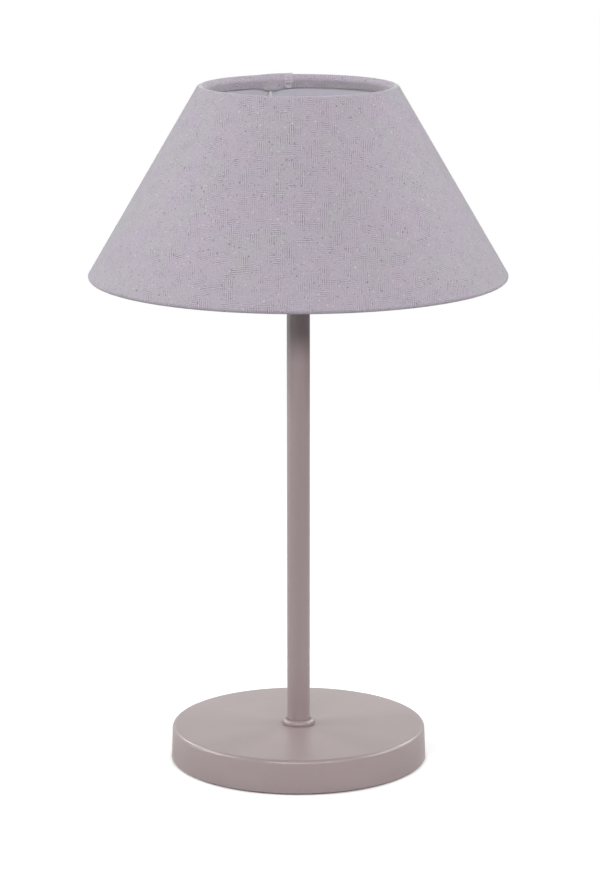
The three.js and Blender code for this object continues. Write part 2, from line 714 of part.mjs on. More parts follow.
// A thin cone on the inside of the cloth's slope, from one fold to the other. It stops short of
// each fold's middle, and its outer face lies inwards of the cloth by a depth.
function innerCone(bottomStop, topStop, depth, thickness) {
  const bottomFace = bottomFold.bore - depth;
  const topFace = topFold.bore - depth;
  return revolve([
    section(bottomFold, bottomStop, bottomFace - thickness),
    section(bottomFold, bottomStop, bottomFace),
    section(topFold, -topStop, topFace),
    section(topFold, -topStop, topFace - thickness),
  ], SHADE_STEPS);
}

function makeShadeLiner() {
  add('shade_liner', innerCone(BOTTOM_WIRE + FIT, TOP_WIRE + FIT, FIT, LINER), liner);
  const strip = solid(innerCone(HEM + FIT, HEM + FIT, 2 * FIT + LINER, TAPE));
  add('seam_tape', geometryOf(strip.intersect(seamRoom())), liner);
}

function makeShadeRings() {
  [['top_wire_ring', topFold], ['bottom_wire_ring', bottomFold]].forEach(([name, fold]) => {
    const wire = new THREE.TorusGeometry(fold.centre.x, fold.wire, WIRE_SIDES, SHADE_STEPS);
    add(name, wire.translate(0, 0, fold.centre.y), whiteWire);
  });
  add('fitter_ring', ring(fitterBore, fitterRadius, fitterFoot, fitterTop), whiteWire);
}

// A path of straight runs joined by rounded corners, through [radius, height] points at one angle.
function bentWire(points, bend, angle) {
  const corners = points.map(([radius, height]) => new THREE.Vector3(
    radius * Math.cos(angle),
    radius * Math.sin(angle),
    height,
  ));
  const path = new THREE.CurvePath();
  let start = corners[0];
  for (let i = 1; i < corners.length - 1; i += 1) {
    const before = corners[i - 1].clone().sub(corners[i]);
    const after = corners[i + 1].clone().sub(corners[i]);
    const enter = corners[i].clone().add(before.setLength(bend));
    const leave = corners[i].clone().add(after.setLength(bend));
    path.add(new THREE.LineCurve3(start, enter));
    path.add(new THREE.QuadraticBezierCurve3(enter, corners[i], leave));
    start = leave;
  }
  path.add(new THREE.LineCurve3(start, corners.at(-1)));
  return path;
}

// An arm runs down inside the hem, slants in to the fitter and ends level against its edge.
function makeArm(name, angle) {
  const lean = -(LINER + FIT) / 2;
  const level = fitterFoot + FITTER_THICKNESS / 2;
  const foot = fitterRadius + FIT;
  const path = bentWire([
    section(topFold, -TOP_WIRE - FIT, lean),
    section(topFold, -HEM - ARM_BEND, lean),
    [foot + ARM_FOOT, level],
    [foot, level],
  ], ARM_BEND, angle);
  const round = new THREE.Shape().absarc(0, 0, ARM_WIRE, 0, 2 * Math.PI);
  add(name, new THREE.ExtrudeGeometry(round, {
    steps: ARM_STEPS,
    curveSegments: ARM_SIDES / 2,
    extrudePath: path,
  }), whiteWire);
}

makeBaseCover();
makeBaseWeight();
makeFeltPad();
makeCordBush();
makeBaseNut();
makeStem();
makeHolderCap();
makeHolderSkirt();
makeTerminalBlock();
makeScrewShell();
makeCentreContact();
makeShadeRing('lower_shade_ring', lowerRingTop - RING_HEIGHT);
makeShadeRing('upper_shade_ring', fitterTop + FIT);
makeBulb();
makeShadeCloth();
makeShadeLiner();
makeShadeRings();
for (let i = 0; i < ARM_COUNT; i += 1) {
  const angle = THREE.MathUtils.degToRad(ARM_ANGLE + (360 * i) / ARM_COUNT);
  makeArm(`spider_arm_${i + 1}`, angle);
}

export default lamp;
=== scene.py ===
# %% [markdown]
# # A table lamp with a cloth cone shade
#
# The lamp is already built as exact solids: a weighted round base, a slim stem, a small screw
# lampholder with its globe bulb, and a cone shade on a wire spider. This lesson dresses that
# frame. Each solid keeps its place. What shows on the real lamp is either given a finish, or
# made again with rounder edges, cloth threads and folds, and then stands for its solid.

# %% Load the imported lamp
import math
import random

import bmesh
import bpy
from mathutils import Matrix, Vector


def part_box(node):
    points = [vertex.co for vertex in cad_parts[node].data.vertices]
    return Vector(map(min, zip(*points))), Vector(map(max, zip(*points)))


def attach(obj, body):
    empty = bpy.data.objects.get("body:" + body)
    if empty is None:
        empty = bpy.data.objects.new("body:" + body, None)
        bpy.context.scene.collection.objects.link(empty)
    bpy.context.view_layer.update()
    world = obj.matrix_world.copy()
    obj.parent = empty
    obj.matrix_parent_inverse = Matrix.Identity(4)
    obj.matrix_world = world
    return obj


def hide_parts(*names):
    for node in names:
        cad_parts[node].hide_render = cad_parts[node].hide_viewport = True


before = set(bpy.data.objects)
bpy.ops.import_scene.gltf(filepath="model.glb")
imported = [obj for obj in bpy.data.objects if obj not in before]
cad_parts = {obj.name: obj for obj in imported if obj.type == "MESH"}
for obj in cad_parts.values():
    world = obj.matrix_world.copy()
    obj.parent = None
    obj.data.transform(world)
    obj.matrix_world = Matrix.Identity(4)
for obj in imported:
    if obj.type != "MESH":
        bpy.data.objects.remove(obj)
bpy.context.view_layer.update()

MM = 0.001
UP = Vector((0, 0, 1))
MIDDLE = Vector((0, 0, 0))
scene = bpy.context.scene
scene.view_settings.view_transform = "Standard"
print("solids:", len(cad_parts))

# %% [markdown]
# ## The camera
#
# The photograph was taken with a long lens from about two metres, a little above the lamp. A
# long lens keeps the stem straight and the base nearly flat. The view is set by the lens, the
# place of the camera and how far it looks down.

# %% Place the camera
CAMERA_PLACE = Vector((0.95, -1948.0, 621.0)) * MM
LOOKS_DOWN = math.radians(12.356)
LEANS = math.radians(-0.03)
LENS = 142.15
FILM_HEIGHT = 36.0
SEES_TO = 60.0


def add_object(name, data):
    """A new object in the scene, with this data."""
    thing = bpy.data.objects.new(name, data)
    scene.collection.objects.link(thing)
    return thing


camera = add_object("camera", bpy.data.cameras.new("camera"))
camera.data.sensor_fit = "VERTICAL"
camera.data.sensor_height = FILM_HEIGHT
camera.data.lens = LENS
camera.data.clip_end = SEES_TO
turn_down = Matrix.Rotation(math.radians(90) - LOOKS_DOWN, 4, "X")
lean = Matrix.Rotation(LEANS, 4, "Z")
camera.matrix_world = Matrix.Translation(CAMERA_PLACE) @ turn_down @ lean
scene.camera = camera
print("camera at", tuple(round(c, 3) for c in CAMERA_PLACE), "lens", LENS, "mm")

# %% [markdown]
# ## Helpers that make node trees
#
# A material is a tree of nodes, and its recipe reads best with one node to a line. The helper
# put adds a node and sets or links its inputs. The others each add one node that is often
# wanted: a sum, a blend of two colours, a range stretched over another, or noise. Colours are
# written as a screen shows them, and colour turns them into the linear values of light.

# %% Add and join nodes
def bare_tree(owner):
    """Gives a world or a material an empty tree of nodes."""
    owner.use_nodes = True
    owner.node_tree.nodes.clear()
    return owner.node_tree


def join(tree, value, socket):
    """Links an output socket to this input, or sets the input to a plain value."""
    if isinstance(value, bpy.types.NodeSocket):
        tree.links.new(value, socket)
    else:
        socket.default_value = value


def add_node(tree, kind, **settings):
    node = tree.nodes.new(kind)
    for key, value in settings.items():
        setattr(node, key, value)
    return node


def put(tree, kind, inputs=None, **settings):
    """Adds a node and fills its inputs. What comes back is its outputs, ready to be joined."""
    node = add_node(tree, kind, **settings)
    for key, value in (inputs or {}).items():
        join(tree, value, node.inputs[key])
    return node.outputs


def colour(red, green, blue):
    def linear(value):
        share = value / 255
        return share / 12.92 if share <= 0.04045 else ((share + 0.055) / 1.055) ** 2.4
    return (linear(red), linear(green), linear(blue), 1.0)


def maths(tree, operation, first, second=0.0):
    return put(tree, "ShaderNodeMath", {0: first, 1: second}, operation=operation)[0]


def plus(tree, value, extra, share=1.0):
    """The value, with a share of the extra added to it."""
    return put(tree, "ShaderNodeMath", {0: extra, 1: share, 2: value}, operation="MULTIPLY_ADD")[0]


def blend_colours(tree, share, first, second, blend_type="MIX"):
    """A Mix node has sockets of every kind, so those of colours are found by identifier."""
    node = add_node(tree, "ShaderNodeMix", data_type="RGBA", blend_type=blend_type)
    inputs = {"Factor_Float": share, "A_Color": first, "B_Color": second}
    for socket in node.inputs:
        if socket.identifier in inputs:
            join(tree, inputs[socket.identifier], socket)
    return next(s for s in node.outputs if s.identifier == "Result_Color")


def dyed(tree, first, second):
    """One colour seen through another."""
    return blend_colours(tree, 1.0, first, second, "MULTIPLY")


def spread(tree, value, low, high, to_low=0.0, to_high=1.0):
    """Stretches the range low to high over to_low to to_high, and stops at both ends."""
    return put(tree, "ShaderNodeMapRange", {
        "Value": value, "From Min": low, "From Max": high, "To Min": to_low, "To Max": to_high,
    })[0]


def noise(tree, place, scale, detail=2.0, roughness=0.5, stretch=(1, 1, 1)):
    """Noise of a scale in cycles a metre. stretch squeezes it along an axis."""
    spot = put(tree, "ShaderNodeMapping", {"Vector": place, "Scale": [scale * s for s in stretch]})
    return put(tree, "ShaderNodeTexNoise", {
        "Vector": spot[0], "Scale": 1.0, "Detail": detail, "Roughness": roughness,
    })["Fac"]


print("half grey on a screen is", round(colour(128, 128, 128)[0], 3), "in linear light")

# %% [markdown]
# ## The room
#
# The lamp stands on a white table in a soft white room. The world is plain white to the
# camera, to mirrors and through glass, but gives only a little light, which fills the shadows.

# %% Set the white room
PURE_WHITE = (1.0, 1.0, 1.0, 1.0)
WORLD_LEVEL = 0.09


def seen_by_camera(tree):
    return put(tree, "ShaderNodeLightPath")["Is Camera Ray"]


def seen_directly(tree):
    """1 for rays from the camera, from a mirror or through glass, and 0 for plain light."""
    path = put(tree, "ShaderNodeLightPath")
    mirrored = maths(tree, "MAXIMUM", path["Is Camera Ray"], path["Is Glossy Ray"])
    return maths(tree, "MAXIMUM", mirrored, path["Is Transmission Ray"])


scene.world = bpy.data.worlds.new("white_room")
sky = bare_tree(scene.world)
level = spread(sky, seen_directly(sky), 0.0, 1.0, WORLD_LEVEL, 1.0)
room = put(sky, "ShaderNodeBackground", {"Color": PURE_WHITE, "Strength": level})
put(sky, "ShaderNodeOutputWorld", {"Surface": room[0]})
print("world light:", WORLD_LEVEL)

# %% [markdown]
# ### The table
#
# The far table is plain white to the camera. In mirrors it is white on the left, which draws
# the pale strip on the stem, and dimmer elsewhere. Near the base the table takes the light, so
# it keeps a soft shadow, and some white is added there for the camera. That white stops under
# the base and fades out just past its edge, so that the gap at its foot stays dark. Under the
# base the table's real shade is left bare, and where the fade reaches past the edge it paints a
# thin contact shadow round the foot. The near table throws light back up onto the wall of the
# base, and farther out it throws back little.

# %% Lay the table
FLOOR_REACH = 30.0
FLOOR_PALE = 0.80
FAR_FLOOR = (0.22, 1.22)
NEAR_GLOW = 0.42
GLOW_EDGE = (0.0735, 0.0765)
TABLE_EDGE = (0.16, 0.45)
ROOM_FLOOR = 0.12
BRIGHT_SIDE = (-0.5, -0.1)
ROOM_SHINE = 0.4


def mesh_from(bm, name):
    mesh = bpy.data.meshes.new(name)
    bm.to_mesh(mesh)
    bm.free()
    return mesh


def white_glow(tree, strength):
    return put(tree, "ShaderNodeEmission", {"Color": PURE_WHITE, "Strength": strength})[0]


def make_table_white():
    """The table's material. away is the distance from the lamp's axis, in metres."""
    material = bpy.data.materials.new("white_table")
    tree = bare_tree(material)
    seen, in_view = seen_directly(tree), seen_by_camera(tree)
    place = put(tree, "ShaderNodeTexCoord")["Object"]
    away = put(tree, "ShaderNodeVectorMath", {0: place}, operation="LENGTH")["Value"]
    sideways = put(tree, "ShaderNodeSeparateXYZ", {0: place})["X"]
    far = maths(tree, "MULTIPLY", spread(tree, away, *FAR_FLOOR), seen)
    bounce = spread(tree, away, *TABLE_EDGE, FLOOR_PALE, ROOM_FLOOR)
    pale = maths(tree, "MAXIMUM", bounce, maths(tree, "MULTIPLY", seen, FLOOR_PALE))
    # The added white fades out across GLOW_EDGE, under the base and just past its edge. Past the
    # edge this is a thin painted contact shadow round the foot, over the table's real shade.
    glow = maths(tree, "MULTIPLY", in_view, spread(tree, away, *GLOW_EDGE, 0.0, NEAR_GLOW))
    mirrored = spread(tree, sideways, *BRIGHT_SIDE, 1.0, ROOM_SHINE)
    plain = white_glow(tree, maths(tree, "MAXIMUM", in_view, mirrored))
    lit = put(tree, "ShaderNodeBsdfDiffuse", {"Color": pale})[0]
    near = put(tree, "ShaderNodeAddShader", {0: lit, 1: white_glow(tree, glow)})[0]
    mixed = put(tree, "ShaderNodeMixShader", {0: far, 1: near, 2: plain})[0]
    put(tree, "ShaderNodeOutputMaterial", {"Surface": mixed})
    return material


def make_floor():
    bm = bmesh.new()
    bmesh.ops.create_grid(bm, x_segments=1, y_segments=1, size=FLOOR_REACH)
    floor = add_object("table_top", mesh_from(bm, "table_top"))
    floor.data.materials.append(make_table_white())


make_floor()
print("floor reaches", FLOOR_REACH, "m")

# %% [markdown]
# ### The soft boxes
#
# Three soft boxes stand in front, well above the rim of the shade, so that the rim's shadow
# ends a little way down the stem. The boxes at the sides lift the flanks of the shade, two
# behind light the back, and one overhead lights the rim and the bulb. Each is placed by two
# angles seen from the lamp: how far round from the camera it stands, and how high. All of them
# face the lamp. The light from the front is a touch warmer and pinker than the rest.

# %% Hang the soft boxes
LAMP_MIDDLE = Vector((0, 0, 0.2))
BOX_REACH = 2.5
FRONT_LIGHT = (1.0, 0.965, 0.985)
SIDE_LIGHT = (0.975, 1.0, 0.975)
SOFT_BOXES = [
    # name, degrees round from the camera, degrees up, size in metres, watts, tint
    ("front_left_box", -14, 20.5, (0.8, 0.3), 16.5, FRONT_LIGHT),
    ("front_middle_box", 8, 20.5, (0.6, 0.3), 8.3, FRONT_LIGHT),
    ("front_right_box", 30, 20.5, (0.8, 0.3), 11.0, FRONT_LIGHT),
    ("left_low_box", -100, 0, (0.6, 0.3), 3.0, SIDE_LIGHT),
    ("left_box", -88, 28, (1.5, 0.8), 33.0, SIDE_LIGHT),
    ("right_box", 88, 28, (1.5, 0.8), 26.0, SIDE_LIGHT),
    ("back_left_box", -135, 30, (0.8, 0.8), 15.5, SIDE_LIGHT),
    ("back_right_box", 135, 30, (0.8, 0.8), 17.0, SIDE_LIGHT),
    ("top_box", 0, 88, (0.8, 0.8), 4.5, SIDE_LIGHT),
]


def hang_soft_box(name, turn, height, size, watts, tint):
    light = bpy.data.lights.new(name, "AREA")
    light.shape = "RECTANGLE"
    light.size, light.size_y = size
    light.energy = watts
    light.color = tint
    way = Vector((0, -1, 0))
    way.rotate(Matrix.Rotation(math.radians(-height), 3, "X"))
    way.rotate(Matrix.Rotation(math.radians(turn), 3, "Z"))
    box = add_object(name, light)
    box.location = LAMP_MIDDLE + way * BOX_REACH
    box.rotation_euler = (-way).to_track_quat("-Z", "Y").to_euler()


for box in SOFT_BOXES:
    hang_soft_box(*box)
print("soft boxes:", len(SOFT_BOXES))

# %% [markdown]
# ## Shared surface effects
#
# Several finishes share an effect: the fine skin of a powder coat, the grain of moulded
# plastic, the drawn lines of plated metal. Each effect is a node group, made once, and each
# material gives it its own values. A group puts out a colour, a roughness and a height, and the
# shader itself stays in the material.

# %% Start and end a shared effect
SKIN_INPUTS = {"Place": "Vector", "Tint": "Color", "Shine": "Float"}
SKIN_OUTPUTS = {"Colour": "Color", "Roughness": "Float", "Height": "Float"}


def new_effect(name, inputs=SKIN_INPUTS, outputs=SKIN_OUTPUTS):
    """A node group. inputs and outputs map each socket's name to its kind."""
    group = bpy.data.node_groups.new(name, "ShaderNodeTree")
    for way, sockets in (("INPUT", inputs), ("OUTPUT", outputs)):
        for title, kind in sockets.items():
            group.interface.new_socket(title, in_out=way, socket_type="NodeSocket" + kind)
    return group, put(group, "NodeGroupInput")


def end_effect(group, **given_out):
    put(group, "NodeGroupOutput", given_out)
    print("effect:", group.name)
    return group


# %% [markdown]
# ### Powder coat
#
# The base and stem are sprayed with a satin powder coat in one taupe. Baked powder has a very
# fine orange peel, slightly duller and shinier patches, and a few specks where a grain stood
# proud. All of it is small, because the real paint looks even from a step away.

# %% Powder coat effect
def make_powder_coat():
    group, given = new_effect("powder_coat")
    place, tint = given["Place"], given["Tint"]
    peel = noise(group, place, 700)
    patches = noise(group, place, 28, detail=3)
    grain = noise(group, place, 2600, detail=1)
    specks = spread(group, noise(group, place, 900, detail=0), 0.78, 0.86)
    deeper = dyed(group, tint, (0.86, 0.86, 0.86, 1))
    body = blend_colours(group, spread(group, patches, 0.15, 0.85, 0.0, 0.35), tint, deeper)
    dotted = blend_colours(group, spread(group, grain, 0.3, 0.7, 0.0, 0.12), body, deeper)
    dust = maths(group, "MULTIPLY", specks, 0.15)
    dull = plus(group, given["Shine"], spread(group, patches, 0.15, 0.85, -0.03, 0.035))
    return end_effect(
        group,
        Colour=blend_colours(group, dust, dotted, colour(214, 208, 206)),
        Roughness=dull,
        Height=plus(group, peel, specks, 0.6),
    )


powder_coat = make_powder_coat()

# %% [markdown]
# ### Moulded plastic and plated metal
#
# The holder, its ring nuts, the bush and the bulb's housing are moulded: faint flow marks and
# a little grain. Wire, screws and the bulb's shell are plated: their shine is uneven along
# fine drawn lines. Both are a slow stain over a fine relief, so one function makes the two.

# %% Plastic and metal effects
def make_skin(name, relief, stain, deeper, stained, dulled):
    """relief and stain describe a noise. stained and dulled are ranges for spread."""
    group, given = new_effect(name)
    mask = noise(group, given["Place"], **stain)
    darker = dyed(group, given["Tint"], deeper)
    body = blend_colours(group, spread(group, mask, *stained), given["Tint"], darker)
    dull = plus(group, given["Shine"], spread(group, mask, *dulled))
    height = noise(group, given["Place"], **relief)
    return end_effect(group, Colour=body, Roughness=dull, Height=height)


moulded_grain = make_skin(
    "moulded_grain", relief={"scale": 1800}, stain={"scale": 60, "stretch": (1, 1, 0.35)},
    deeper=(0.88, 0.87, 0.85, 1), stained=(0.35, 0.7, 0.0, 0.5), dulled=(0.3, 0.7, -0.05, 0.08),
)
plated_metal = make_skin(
    "plated_metal", relief={"scale": 900, "detail": 3, "stretch": (1, 1, 0.08)},
    stain={"scale": 120, "detail": 3}, deeper=(0.62, 0.60, 0.56, 1),
    stained=(0.45, 0.75, 0.0, 0.6), dulled=(0.3, 0.7, -0.06, 0.16),
)

# %% [markdown]
# ### Pressed felt
#
# The pad under the base is pressed felt: short fibres that lie every way, matt and nearly
# black.

# %% Felt effect
def make_pressed_felt():
    group, given = new_effect("pressed_felt")
    place, tint = given["Place"], given["Tint"]
    fibres = noise(group, place, 1500, detail=4, roughness=0.7)
    tufts = noise(group, place, 160, detail=3)
    bright = spread(group, fibres, 0.4, 0.75, 0.0, 0.5)
    dark = spread(group, tufts, 0.4, 0.7, 0.0, 0.4)
    body = blend_colours(group, dark, blend_colours(group, bright, tint, colour(96, 94, 95)),
                         colour(24, 23, 24))
    dull = plus(group, given["Shine"], spread(group, fibres, 0.4, 0.75, 0.03, -0.1))
    return end_effect(group, Colour=body, Roughness=dull, Height=fibres)


pressed_felt = make_pressed_felt()

# %% [markdown]
# ## From an effect to a material
#
# A finish names its effect, its tint, its roughness, and the strength and height of its relief.
# Numbers that are the same all over the surface, such as how metallic it is, go straight onto
# the shader. An effect lies on the object's own coordinates, or on the cut of the cloth where
# the finish names a UV map. BY_SLOT holds the finish of each of the record's slots.

# %% Make a finish from an effect
def finish(name, effect, tint, roughness, bump, depth, cut_map=None, **plain):
    """A material of one effect. depth is in metres, and plain sets the shader's own sockets."""
    material = bpy.data.materials.new(name)
    tree = bare_tree(material)
    if cut_map:
        place = put(tree, "ShaderNodeUVMap", uv_map=cut_map)["UV"]
    else:
        place = put(tree, "ShaderNodeTexCoord")["Object"]
    skin = put(tree, "ShaderNodeGroup", {"Place": place, "Tint": tint, "Shine": roughness},
               node_tree=effect)
    relief = put(tree, "ShaderNodeBump", {
        "Strength": bump, "Distance": depth, "Height": skin["Height"],
    })
    inputs = {"Base Color": skin["Colour"], "Roughness": skin["Roughness"], "Normal": relief[0]}
    for socket, value in plain.items():
        inputs[socket.replace("_", " ").title().replace("Ior", "IOR")] = value
    shader = put(tree, "ShaderNodeBsdfPrincipled", inputs)
    put(tree, "ShaderNodeOutputMaterial", {"Surface": shader[0]})
    return material


BY_SLOT = {
    "paint": finish("taupe_powder_coat", powder_coat, colour(155, 139, 140), 0.315, 0.2, 0.00005,
                    ior=1.65),
    "felt": finish("dark_felt", pressed_felt, colour(46, 45, 46), 0.95, 0.8, 0.0004),
    "white_wire": finish("white_enamel", powder_coat, colour(226, 223, 222), 0.38, 0.3, 0.00006),
    "black_plastic": finish("black_plastic", moulded_grain, colour(30, 30, 31), 0.42, 0.25,
                            0.00004),
    "white_plastic": finish("white_plastic", moulded_grain, colour(231, 228, 221), 0.38, 0.25,
                            0.00004),
}
print("finishes:", ", ".join(BY_SLOT))

# %% [markdown]
# ### The opal globe
#
# The bulb's globe is white translucent plastic. Some light goes through its wall and softens
# the edge of the shadow on it, so the shader gets a little subsurface scattering.

# %% Opal finish
BY_SLOT["opal"] = finish("opal_globe", moulded_grain, colour(244, 242, 236), 0.34, 0.1, 0.00003,
                         subsurface_weight=0.35, subsurface_scale=0.004)
print("finish:", BY_SLOT["opal"].name)

# %% [markdown]
# ### The solids that stay
#
# The iron weight, the fasteners, the contacts, the screw threads and the two wire rings have the
# right shape as they are, and most of them are hidden. Each keeps its solid, and only the
# finish in its material slot is changed.

# %% Put the finishes on the solids that stay
DRESSED_SOLIDS = [
    (finish("cast_iron", plated_metal, colour(84, 82, 80), 0.7, 0.6, 0.0003, metallic=0.5),
     ["base_weight"]),
    (finish("zinc_plate", plated_metal, colour(196, 198, 200), 0.36, 0.15, 0.00005, metallic=1.0),
     ["base_nut", "base_washer", "threaded_rod", "grub_screw"]),
    (finish("brass", plated_metal, colour(206, 172, 98), 0.35, 0.15, 0.00005, metallic=1.0),
     ["terminal_screw_left", "terminal_screw_right", "centre_contact"]),
    (finish("nickel_plate", plated_metal, colour(204, 201, 196), 0.34, 0.15, 0.00005, metallic=1.0),
     ["screw_shell", "bulb_contact", "bulb_shell"]),
    (finish("glass_insulator", moulded_grain, colour(28, 26, 32), 0.16, 0.2, 0.00004),
     ["bulb_insulator"]),
    (finish("circuit_board", moulded_grain, colour(220, 219, 216), 0.45, 0.3, 0.00005),
     ["led_board"]),
    (BY_SLOT["white_plastic"], ["terminal_block"]),
    (BY_SLOT["white_wire"], ["top_wire_ring", "bottom_wire_ring"]),
]

for material, nodes in DRESSED_SOLIDS:
    for node in nodes:
        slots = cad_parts[node].data.materials
        slots.clear()
        slots.append(material)
print("solids dressed:", sum(len(nodes) for _, nodes in DRESSED_SOLIDS))

# %% [markdown]
# ## Turned pieces
#
# Most of this lamp is round. Such a piece starts as its half section: corners of radius and
# height. A corner is rounded with a vertex bevel while the section is still flat, which gives
# true round edges, and then a full spin about the axis turns the section into the piece.

# %% Turn a section about the axis
ROUND_STEPS = 96
ROUNDING_CUTS = 5
TOUCHING = 1e-6
CRISP = 35


def keep(bm, name, body, slot, nodes, crease=CRISP, material=None):
    """Makes the mesh a piece of the lamp. Edges sharper than crease degrees stay crisp."""
    mesh = mesh_from(bm, name)
    mesh.shade_smooth()
    mesh.set_sharp_from_angle(angle=math.radians(crease))
    mesh.materials.append(material or BY_SLOT[slot])
    piece = add_object(name, mesh)
    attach(piece, body)
    if nodes:
        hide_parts(*nodes)
    print(f"{name}: {len(mesh.polygons)} faces")
    return piece


def spin_round(bm, steps):
    """Spins all there is about the lamp's axis, and closes the seam and the poles."""
    bmesh.ops.spin(bm, geom=bm.verts[:] + bm.edges[:], axis=UP, cent=MIDDLE,
                   angle=2 * math.pi, steps=steps, use_merge=True)
    bmesh.ops.remove_doubles(bm, verts=bm.verts, dist=TOUCHING)
    bmesh.ops.recalc_face_normals(bm, faces=bm.faces)


def face_away(bm, middle):
    """Turns an open sheet over if more of it looks at this point than away from it."""
    bm.normal_update()
    if sum((f.calc_center_median() - middle).dot(f.normal) for f in bm.faces) < 0:
        bmesh.ops.reverse_faces(bm, faces=bm.faces)
        bm.normal_update()


def turned(section, steps=ROUND_STEPS):
    """section lists (radius, height) or (radius, height, rounding) in millimetres."""
    bm = bmesh.new()
    corners = [bm.verts.new((entry[0] * MM, 0, entry[1] * MM)) for entry in section]
    bm.faces.new(corners)
    for corner, entry in zip(corners, section):
        if len(entry) == 3:
            bmesh.ops.bevel(bm, geom=[corner], offset=entry[2] * MM, offset_type="OFFSET",
                            affect="VERTICES", segments=ROUNDING_CUTS, profile=0.5, material=-1)
    bmesh.ops.delete(bm, geom=bm.faces[:], context="FACES_ONLY")
    on_axis = [e for e in bm.edges if all(v.co.x < TOUCHING for v in e.verts)]
    bmesh.ops.delete(bm, geom=on_axis, context="EDGES")
    spin_round(bm, steps)
    return bm


def turn_piece(name, body, slot, node, section, steps=ROUND_STEPS):
    return keep(turned(section, steps), name, body, slot, [node])


def measure(node):
    """Foot, top and outer radius of a round solid, in millimetres."""
    low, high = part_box(node)
    return low.z / MM, high.z / MM, high.x / MM


# %% [markdown]
# ### The base
#
# The base is a steel cup pressed over an iron weight. Its wall leans in a little and its edge
# is rounded, which draws the thin bright line round the top. It stops just above the table. At
# the back it is cut for the bush, so a boolean takes a cylinder out of the wall.

# %% Base cover
BASE_RADIUS = 75.0
BASE_TOP = 20.3
BASE_DRAFT = 0.7
COVER_WALL = 1.2
COVER_FOOT = 0.8
COVER_EDGE = 2.2
ROD_HOLE = 5.3
CORD_HEIGHT = 8.6
BUSH_HOLE = 4.7
DRILL_SIDES = 48


def drill_through_back(depth):
    """A cylinder along +Y where the flex leaves the base."""
    bm = bmesh.new()
    quarter_turn = Matrix.Rotation(math.pi / 2, 4, "X")
    through = Matrix.Translation(Vector((0, BASE_RADIUS, CORD_HEIGHT)) * MM) @ quarter_turn
    bmesh.ops.create_cone(bm, cap_ends=True, segments=DRILL_SIDES, radius1=BUSH_HOLE * MM,
                          radius2=BUSH_HOLE * MM, depth=depth * MM, matrix=through)
    return add_object("bush_drill", mesh_from(bm, "bush_drill"))


def cut_out(piece, tool):
    """Takes the tool out of the piece, and the tool out of the scene."""
    cut = piece.modifiers.new("bush_hole", "BOOLEAN")
    cut.operation = "DIFFERENCE"
    cut.object = tool
    cut.solver = "EXACT"
    bpy.context.view_layer.update()
    dressed = piece.evaluated_get(bpy.context.evaluated_depsgraph_get())
    result = bpy.data.meshes.new_from_object(dressed)
    piece.modifiers.clear()
    piece.data = result
    result.set_sharp_from_angle(angle=math.radians(CRISP))
    bpy.data.objects.remove(tool)


shoulder = BASE_RADIUS - BASE_DRAFT
base_cover = turn_piece("base_cover_pressed", "stand", "paint", "base_cover", [
    (BASE_RADIUS, COVER_FOOT, 0.3),
    (shoulder, BASE_TOP, COVER_EDGE),
    (ROD_HOLE, BASE_TOP),
    (ROD_HOLE, BASE_TOP - COVER_WALL),
    (shoulder - COVER_WALL, BASE_TOP - COVER_WALL, COVER_EDGE - COVER_WALL),
    (BASE_RADIUS - COVER_WALL, COVER_FOOT, 0.3),
], steps=240)
cut_out(base_cover, drill_through_back(depth=20.0))

# %% [markdown]
# ### The felt pad
#
# A pad of felt keeps the iron off the table. It is a little smaller than the base, so that it
# stays out of sight, and its cut edge is only just rounded.

# %% Felt pad
PAD_RADIUS = 73.2
PAD_THICKNESS = 2.0

turn_piece("felt_pad_cut", "stand", "felt", "felt_pad", [
    (0, 0),
    (PAD_RADIUS, 0, 0.2),
    (PAD_RADIUS, PAD_THICKNESS, 0.3),
    (0, PAD_THICKNESS),
], steps=144)

# %% [markdown]
# ### The cord bush
#
# A small black bush lines the hole at the back of the base, with its flange outside on the
# wall. It is turned like the rest, then laid along +Y.

# %% Cord bush
BUSH_BORE = 3.3
BUSH_NECK = 4.4
BUSH_FLANGE = 6.2
WALL_OUT = 75.3
WALL_IN = 72.8
FLANGE_THICKNESS = 1.6
BUSH_TAIL = 2.4

bush = turned([
    (BUSH_BORE, WALL_IN - BUSH_TAIL, 0.2),
    (BUSH_NECK, WALL_IN - BUSH_TAIL, 0.3),
    (BUSH_NECK, WALL_OUT),
    (BUSH_FLANGE, WALL_OUT, 0.75),
    (BUSH_FLANGE, WALL_OUT + FLANGE_THICKNESS, 0.75),
    (BUSH_BORE, WALL_OUT + FLANGE_THICKNESS, 0.5),
], steps=64)
lay_back = Matrix.Translation((0, 0, CORD_HEIGHT * MM)) @ Matrix.Rotation(-math.pi / 2, 4, "X")
bmesh.ops.transform(bush, matrix=lay_back, verts=bush.verts)
keep(bush, "cord_bush_moulded", "stand", "black_plastic", ["cord_bush"])

# %% [markdown]
# ### The stem
#
# The stem is a plain steel tube. A low rounded collar hides where it meets the base, and a
# flat cap closes its top under the lampholder. Collar, tube and cap carry the same paint.

# %% Stem, collar and cap
STEM_RADIUS = 6.7
STEM_BORE = STEM_RADIUS - 1.0
STEM_FOOT = 21.6
STEM_TOP = 274.3
COLLAR_RADIUS = 9.6
COLLAR_BORE = STEM_RADIUS + 0.25
COLLAR_FOOT = 20.4
COLLAR_SEAT = STEM_FOOT - 0.1
COLLAR_TOP = 23.2
PLUG_RADIUS = STEM_BORE - 0.15
PLUG_FOOT = STEM_TOP - 4.0
CAP_RADIUS = 8.2
CAP_FOOT = STEM_TOP + 0.1
CAP_TOP = 276.6

